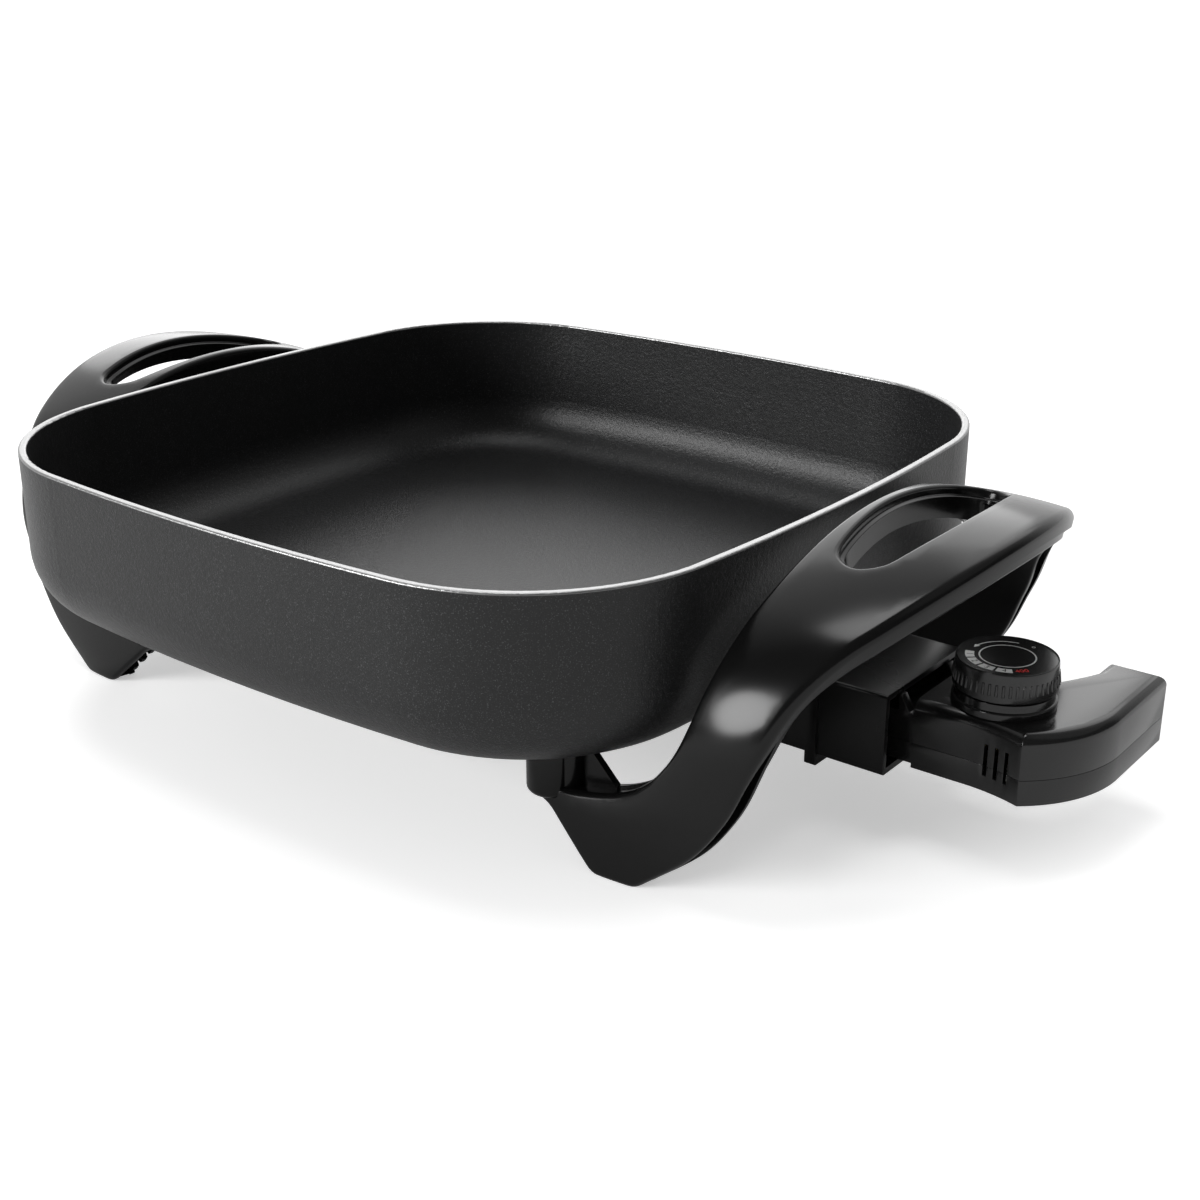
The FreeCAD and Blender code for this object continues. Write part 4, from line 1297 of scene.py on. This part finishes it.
@dataclass
class Dial:
    """Ribbed knob with a recessed printed face. Sizes in millimetres."""

    axis_x: float
    radius: float
    low_z: float
    top_z: float
    rib_count: int = 48
    rib_width: float = 1.05
    rib_height: float = 0.4
    rib_low: float = 2.5
    rib_high: float = 3.6
    lip: float = 0.2
    face_radius: float = 16.0
    recess: float = 0.35
    taper: float = 0.5
    rib_root: float = 0.15
    crease: float = 40.0

    def knob(self) -> None:
        """Turns the knob and sets its ribs round it."""
        base = self.radius - self.rib_height
        top = base - self.taper
        profile = [(2.0, self.low_z), (base - 1.2, self.low_z), (base - 0.3, self.low_z + 0.25),
                   (base, self.low_z + 0.9), (top, self.top_z - 1.6)]
        profile += [(top - self.lip * (1 - math.cos(a)) * 1.6, self.top_z - 1.6 + 1.6 * math.sin(a))
                    for a in np.linspace(0.2, math.pi / 2, 7)]
        profile += [(self.face_radius + 0.25, self.top_z), (self.face_radius, self.top_z - 0.12),
                    (self.face_radius - 0.05, self.top_z - self.recess),
                    (self.face_radius * 0.66, self.top_z - self.recess),
                    (self.face_radius * 0.33, self.top_z - self.recess), (0.5, self.top_z - self.recess)]
        vertices, faces = lathe(profile, (self.axis_x, 0.0))
        place(add_mesh("dial_knob_body", vertices, faces, 30.0), Body.DIAL, "dial_black",
              ["dial_knob", "dial_face"])
        self.ribs()

    def rib(self) -> bpy.types.Object:
        """One rib that stands off the knob's side, at the axis.

        Returns:
            The rib's object, for the ring to copy.
        """
        angles = np.linspace(-math.pi / 2, math.pi / 2, 9)
        height = self.top_z - self.low_z - self.rib_low - self.rib_high
        rows = []
        for share in (0.0, 0.06, 0.94, 1.0):
            grow = 0.35 if share in (0.0, 1.0) else 1.0
            lean = -self.taper * share
            rows.append([(lean - self.rib_root + (self.rib_root + self.rib_height) * grow * math.cos(a),
                          self.rib_width / 2 * math.sin(a), self.low_z + self.rib_low + height * share)
                         for a in angles])
        count = len(angles)
        faces = [[r * count + i, r * count + i + 1, (r + 1) * count + i + 1, (r + 1) * count + i]
                 for r in range(3) for i in range(count - 1)]
        faces += [[r * count + count - 1, r * count, (r + 1) * count, (r + 1) * count + count - 1]
                  for r in range(3)]
        faces += [list(range(count))[::-1], list(range(3 * count, 4 * count))]
        return add_mesh("rib_pattern", np.array(rows).reshape(-1, 3), faces, self.crease)

    def ribs(self) -> None:
        """Repeats the rib round the knob."""
        pattern = self.rib()
        ring = RingTree("knob_ribs").make("dial_ribs", {
            "Piece": pattern, "Count": self.rib_count, "Radius": (self.radius - self.rib_height) * MM,
            "Centre": (self.axis_x * MM, 0.0, 0.0), "Finish": FINISH.made["dial_black"]})
        bpy.data.objects.remove(pattern)
        ring.data.shade_smooth()
        ring.data.set_sharp_from_angle(angle=math.radians(self.crease))
        place(ring, Body.DIAL, "dial_black")


@dataclass
class DialPrint:
    """Print on the knob's face: a ring, an arrow round the back and marks. Sizes in millimetres."""

    axis_x: float
    level: float
    ring_radius: float = 9.0
    ring_width: float = 0.5
    arrow_radius: float = 12.1
    arrow_from: float = 98.0
    arrow_to: float = 168.0
    arrow_width: float = 0.45
    box_radius: float = 12.1
    box_size: Point2 = (5.0, 2.9)
    marks: tuple[tuple[str, float], ...] = (("1", 208.0), ("2", 235.5), ("3", 263.0), ("4", 290.5))
    hot_mark: tuple[str, float] = ("400", 317.0)
    off_mark: tuple[str, float] = ("o", 73.0)
    mark_size: float = 3.0
    off_size: float = 2.6
    head_turn: float = 11.0
    head_width: float = 2.2
    text_lift: float = 0.02

    def arc(self, radius: float, width: float, start: float, end: float) -> tuple[list, list]:
        """Flat band along an arc.

        Args:
            radius: Radius of the band's middle.
            width: The band's width.
            start: First bearing in degrees.
            end: Last bearing in degrees.

        Returns:
            Points and faces.
        """
        steps = max(8, int(abs(end - start) / 3))
        turns = np.radians(np.linspace(start, end, steps + 1))
        points = [(self.axis_x + r * math.cos(a), r * math.sin(a), self.level)
                  for a in turns for r in (radius - width / 2, radius + width / 2)]
        faces = [[2 * i, 2 * i + 1, 2 * i + 3, 2 * i + 2] for i in range(steps)]
        return points, faces

    def text(self, words: str, turn: float, size: float, radius: float) -> tuple[list, list]:
        """Letters read from outside.

        Args:
            words: The letters or numbers.
            turn: Bearing of their middle in degrees.
            size: Height of the letters.
            radius: Distance of their middle from the axis.

        Returns:
            Points and faces.
        """
        curve = bpy.data.curves.new("mark", "FONT")
        curve.body = words
        curve.size = size
        curve.align_x, curve.align_y = "CENTER", "CENTER"
        letter = bpy.data.objects.new("mark", curve)
        bpy.context.scene.collection.objects.link(letter)
        depsgraph = bpy.context.evaluated_depsgraph_get()
        mesh = bpy.data.meshes.new_from_object(letter.evaluated_get(depsgraph))
        angle = math.radians(turn)
        spin = Matrix.Rotation(angle + math.pi / 2, 3, "Z")
        offset = Vector((self.axis_x + radius * math.cos(angle), radius * math.sin(angle),
                         self.level + self.text_lift))
        points = [tuple(spin @ vertex.co + offset) for vertex in mesh.vertices]
        faces = [list(polygon.vertices) for polygon in mesh.polygons]
        bpy.data.objects.remove(letter)
        bpy.data.meshes.remove(mesh)
        return points, faces

    def box(self, turn: float) -> tuple[list, list]:
        """Pale box behind a number."""
        half = math.degrees(self.box_size[0] / 2 / self.box_radius)
        return self.arc(self.box_radius, self.box_size[1], turn - half, turn + half)

    def arrow_head(self) -> tuple[list, list]:
        """Point of the arrow, turned with the arc.

        Returns:
            Points and faces.
        """
        base, tip = math.radians(self.arrow_to), math.radians(self.arrow_to + self.head_turn)
        wide = self.arrow_width * self.head_width
        middle = self.arrow_radius
        spots = [(middle - wide, base), (middle + wide, base), (middle, tip)]
        return [(self.axis_x + r * math.cos(a), r * math.sin(a), self.level) for r, a in spots], [[0, 1, 2]]

    def build(self) -> None:
        """Makes the prints, one object per ink."""
        pale = [self.arc(self.ring_radius, self.ring_width, 0, 360),
                self.arc(self.arrow_radius, self.arrow_width, self.arrow_from, self.arrow_to),
                self.arrow_head(), self.text(*self.off_mark, self.off_size, self.box_radius)]
        pale += [self.box(turn) for _, turn in self.marks]
        dark = [self.text(words, turn, self.mark_size, self.box_radius) for words, turn in self.marks]
        red = [self.text(*self.hot_mark, self.mark_size, self.box_radius)]
        prints = (("dial_print_pale", pale, "pale_ink"), ("dial_print_dark", dark, "dial_black"),
                  ("dial_print_red", red, "red_ink"))
        for name, parts, ink in prints:
            points, faces = gather(parts)
            place(add_mesh(name, points, faces, closed=False), Body.DIAL, ink)


def gather(parts: Sequence[tuple[Sequence, Sequence]]) -> tuple[np.ndarray, list[list[int]]]:
    """Joins several point and face lists into one.

    Args:
        parts: Pairs of points and faces.

    Returns:
        All points and all faces, numbered anew.
    """
    points, faces = [], []
    for more_points, more_faces in parts:
        faces += [[index + len(points) for index in face] for face in more_faces]
        points += [tuple(point) for point in more_points]
    return np.array(points), faces


# The studio


@dataclass
class Studio:
    """Pale floor, soft lamps and the camera."""

    camera_place: tuple[float, float, float] = (0.4230, -0.4855, 0.2880)
    camera_right: tuple[float, float, float] = (0.7899, 0.6133, 0.0)
    camera_up: tuple[float, float, float] = (-0.2263, 0.2915, 0.9295)
    lens: float = 51.94
    floor_half: float = 18.0
    floor_level: float = 0.86
    floor_lift: float = 0.45
    ambient: float = 0.34
    dark_side: float = 0.10
    backdrop: tuple[float, float, float] = (-0.62, 0.76, 0.18)
    backdrop_range: Point2 = (0.2, 0.75)
    floor_gap: float = 0.02
    floor_spread: float = 0.01
    lamps: tuple[tuple[str, float, float, float, float], ...] = (
        ("side_lamp", 242.0, 18.0, 3.0, 28.0),
        ("top_lamp", 165.0, 78.0, 0.85, 24.0),
        ("back_lamp", 95.0, 44.0, 0.3, 34.0),
        ("rear_lamp", 132.0, 22.0, 0.8, 44.0),
        ("fill_lamp", 25.0, 48.0, 0.12, 50.0),
    )

    def floor(self) -> None:
        """Floor that keeps the object's shadow and meets a white background."""
        half = self.floor_half / MM
        corners = np.array([(x * half, y * half, -self.floor_gap)
                            for x, y in ((-1, -1), (1, -1), (1, 1), (-1, 1))])
        obj = add_mesh("floor", corners, [[0, 1, 2, 3]], closed=False)
        tree = ShaderTree("floor_paper")
        grain = tree.noise(6.0, 2.0)
        paper = tree.node("ShaderNodeBsdfDiffuse", {}, {
            "Color": tree.mix(grain, grey(self.floor_level), grey(self.floor_level + self.floor_spread))})
        lift = self.camera_ray(tree) * self.floor_lift
        glow = tree.node("ShaderNodeEmission", {}, {"Color": grey(1.0), "Strength": lift})
        both = tree.node("ShaderNodeAddShader", {}, {0: paper.out(0), 1: glow.out(0)})
        tree.node("ShaderNodeOutputMaterial", {}, {"Surface": both.out(0)})
        obj.data.materials.append(tree.material)

    @staticmethod
    def camera_ray(tree: ShaderTree) -> Value:
        """One for rays straight from the camera."""
        return tree.node("ShaderNodeLightPath", {}, {}).out("Is Camera Ray")

    @staticmethod
    def seen(tree: ShaderTree) -> Value:
        """One for rays that show the background: from the camera, a gloss or glass.

        Args:
            tree: The tree that asks.

        Returns:
            One or zero.
        """
        path = tree.node("ShaderNodeLightPath", {}, {})
        reflected = path.out("Is Camera Ray") + path.out("Is Glossy Ray")
        return (reflected + path.out("Is Transmission Ray")).clamped()

    def world(self) -> None:
        """White background for the camera and soft ambient light; reflections see one bright side."""
        world = bpy.data.worlds.new("studio")
        world.use_nodes = True
        bpy.context.scene.world = world
        tree = ShaderTree.over(world.node_tree)
        seen = self.seen(tree)
        towards = tree.node("ShaderNodeTexCoord", {}, {}).out("Generated")
        facing = tree.node("ShaderNodeVectorMath", {"operation": "DOT_PRODUCT"}, {
            0: towards, 1: self.backdrop}).out("Value").between(*self.backdrop_range)
        path = tree.node("ShaderNodeLightPath", {}, {})
        white = (path.out("Is Camera Ray") + facing * (1.0 - self.dark_side) + self.dark_side).clamped()
        strength = seen * white + (1.0 - seen) * self.ambient
        sky = tree.node("ShaderNodeBackground", {}, {"Color": grey(1.0), "Strength": strength})
        tree.node("ShaderNodeOutputWorld", {}, {"Surface": sky.out(0)})

    def lamp(self, name: str, azimuth: float, elevation: float, power: float, size: float) -> None:
        """Soft distant lamp.

        Args:
            name: The lamp's name.
            azimuth: Bearing that the light comes from, in degrees from +X towards +Y.
            elevation: Height above the horizon in degrees.
            power: Strength.
            size: Angular width in degrees.
        """
        data = bpy.data.lights.new(name, "SUN")
        data.energy = power
        data.angle = math.radians(size)
        lamp = bpy.data.objects.new(name, data)
        turn, rise = math.radians(azimuth), math.radians(elevation)
        towards = Vector((math.cos(turn) * math.cos(rise), math.sin(turn) * math.cos(rise), math.sin(rise)))
        lamp.rotation_mode = "QUATERNION"
        lamp.rotation_quaternion = towards.to_track_quat("Z", "Y")
        bpy.context.scene.collection.objects.link(lamp)

    def camera(self) -> None:
        """Camera at the photograph's viewing angle."""
        data = bpy.data.cameras.new("camera")
        data.lens = self.lens
        data.sensor_width = 36.0
        right, up = Vector(self.camera_right), Vector(self.camera_up)
        obj = bpy.data.objects.new("camera", data)
        rotation = Matrix((right, up, right.cross(up))).transposed()
        obj.matrix_world = Matrix.Translation(self.camera_place) @ rotation.to_4x4()
        bpy.context.scene.collection.objects.link(obj)
        bpy.context.scene.camera = obj

    def build(self) -> None:
        """Sets the whole stage."""
        self.floor()
        self.world()
        for values in self.lamps:
            self.lamp(*values)
        self.camera()
        bpy.context.scene.view_settings.view_transform = "Standard"


# The whole object


FRAME_FINISHES = {
    "pan": "coating", "heating_element": "sheath_steel", "element_insulators": "white_ceramic",
    "terminal_pins": "bright_steel", "handle_screws": "bright_steel", "guard_screws": "bright_steel",
    "case_screws": "bright_steel", "thermostat_probe": "bright_steel", "terminal_block": "white_ceramic",
    "contact_sleeves": "sprung_brass", "thermostat_frame": "bright_steel", "switch_blades": "sprung_brass",
    "switch_spacers": "white_ceramic", "switch_contacts": "sprung_brass", "dial_bushing": "sprung_brass",
    "dial_shaft": "bright_steel", "cord_inlet_bushing": "black_rubber",
}


@dataclass
class HeatControl:
    """Heat control's shells, collar and dial, and the guard that it plugs into. Sizes in millimetres."""

    upper_edge: float = 0.6
    lower_edge: float = 0.5
    collar_edge: float = 0.3
    guard_edge: float = 0.6
    print_lift: float = 0.02

    def cases(self) -> None:
        """Shells, collar and guard with softened edges."""
        mouldings = (
            Moulding("control_upper_shell", Body.CONTROL, "case_black", "case_plastic", self.upper_edge),
            Moulding("control_lower_shell", Body.CONTROL, "case_black", "case_plastic", self.lower_edge),
            Moulding("dial_collar", Body.CONTROL, "case_black", "case_plastic", self.collar_edge),
            Moulding("terminal_guard", Body.SKILLET, "guard_black", "guard_plastic", self.guard_edge),
        )
        for moulding in mouldings:
            moulding.build()

    def dial(self) -> None:
        """Knob and print, in the frame's own place and size."""
        low, high = (np.array(corner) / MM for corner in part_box("dial_knob"))
        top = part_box("dial_face")[1][2] / MM
        axis_x = (low[0] + high[0]) / 2
        dial = Dial(axis_x, (high[0] - low[0]) / 2, low[2], top)
        dial.knob()
        DialPrint(axis_x, top - dial.recess + self.print_lift).build()

    def build(self) -> None:
        """Builds all of it."""
        self.cases()
        self.dial()


def main() -> None:
    """Builds the object in order."""
    logging.basicConfig(level=logging.INFO, format="%(name)s: %(message)s")
    FINISH.build(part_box("pan")[1][2])
    for node, finish in FRAME_FINISHES.items():
        dress_node(node, finish)
    for side in Side:
        Handle(side).build()
    HeatControl().build()
    Studio().build()


if __name__ == "__main__":
    main()
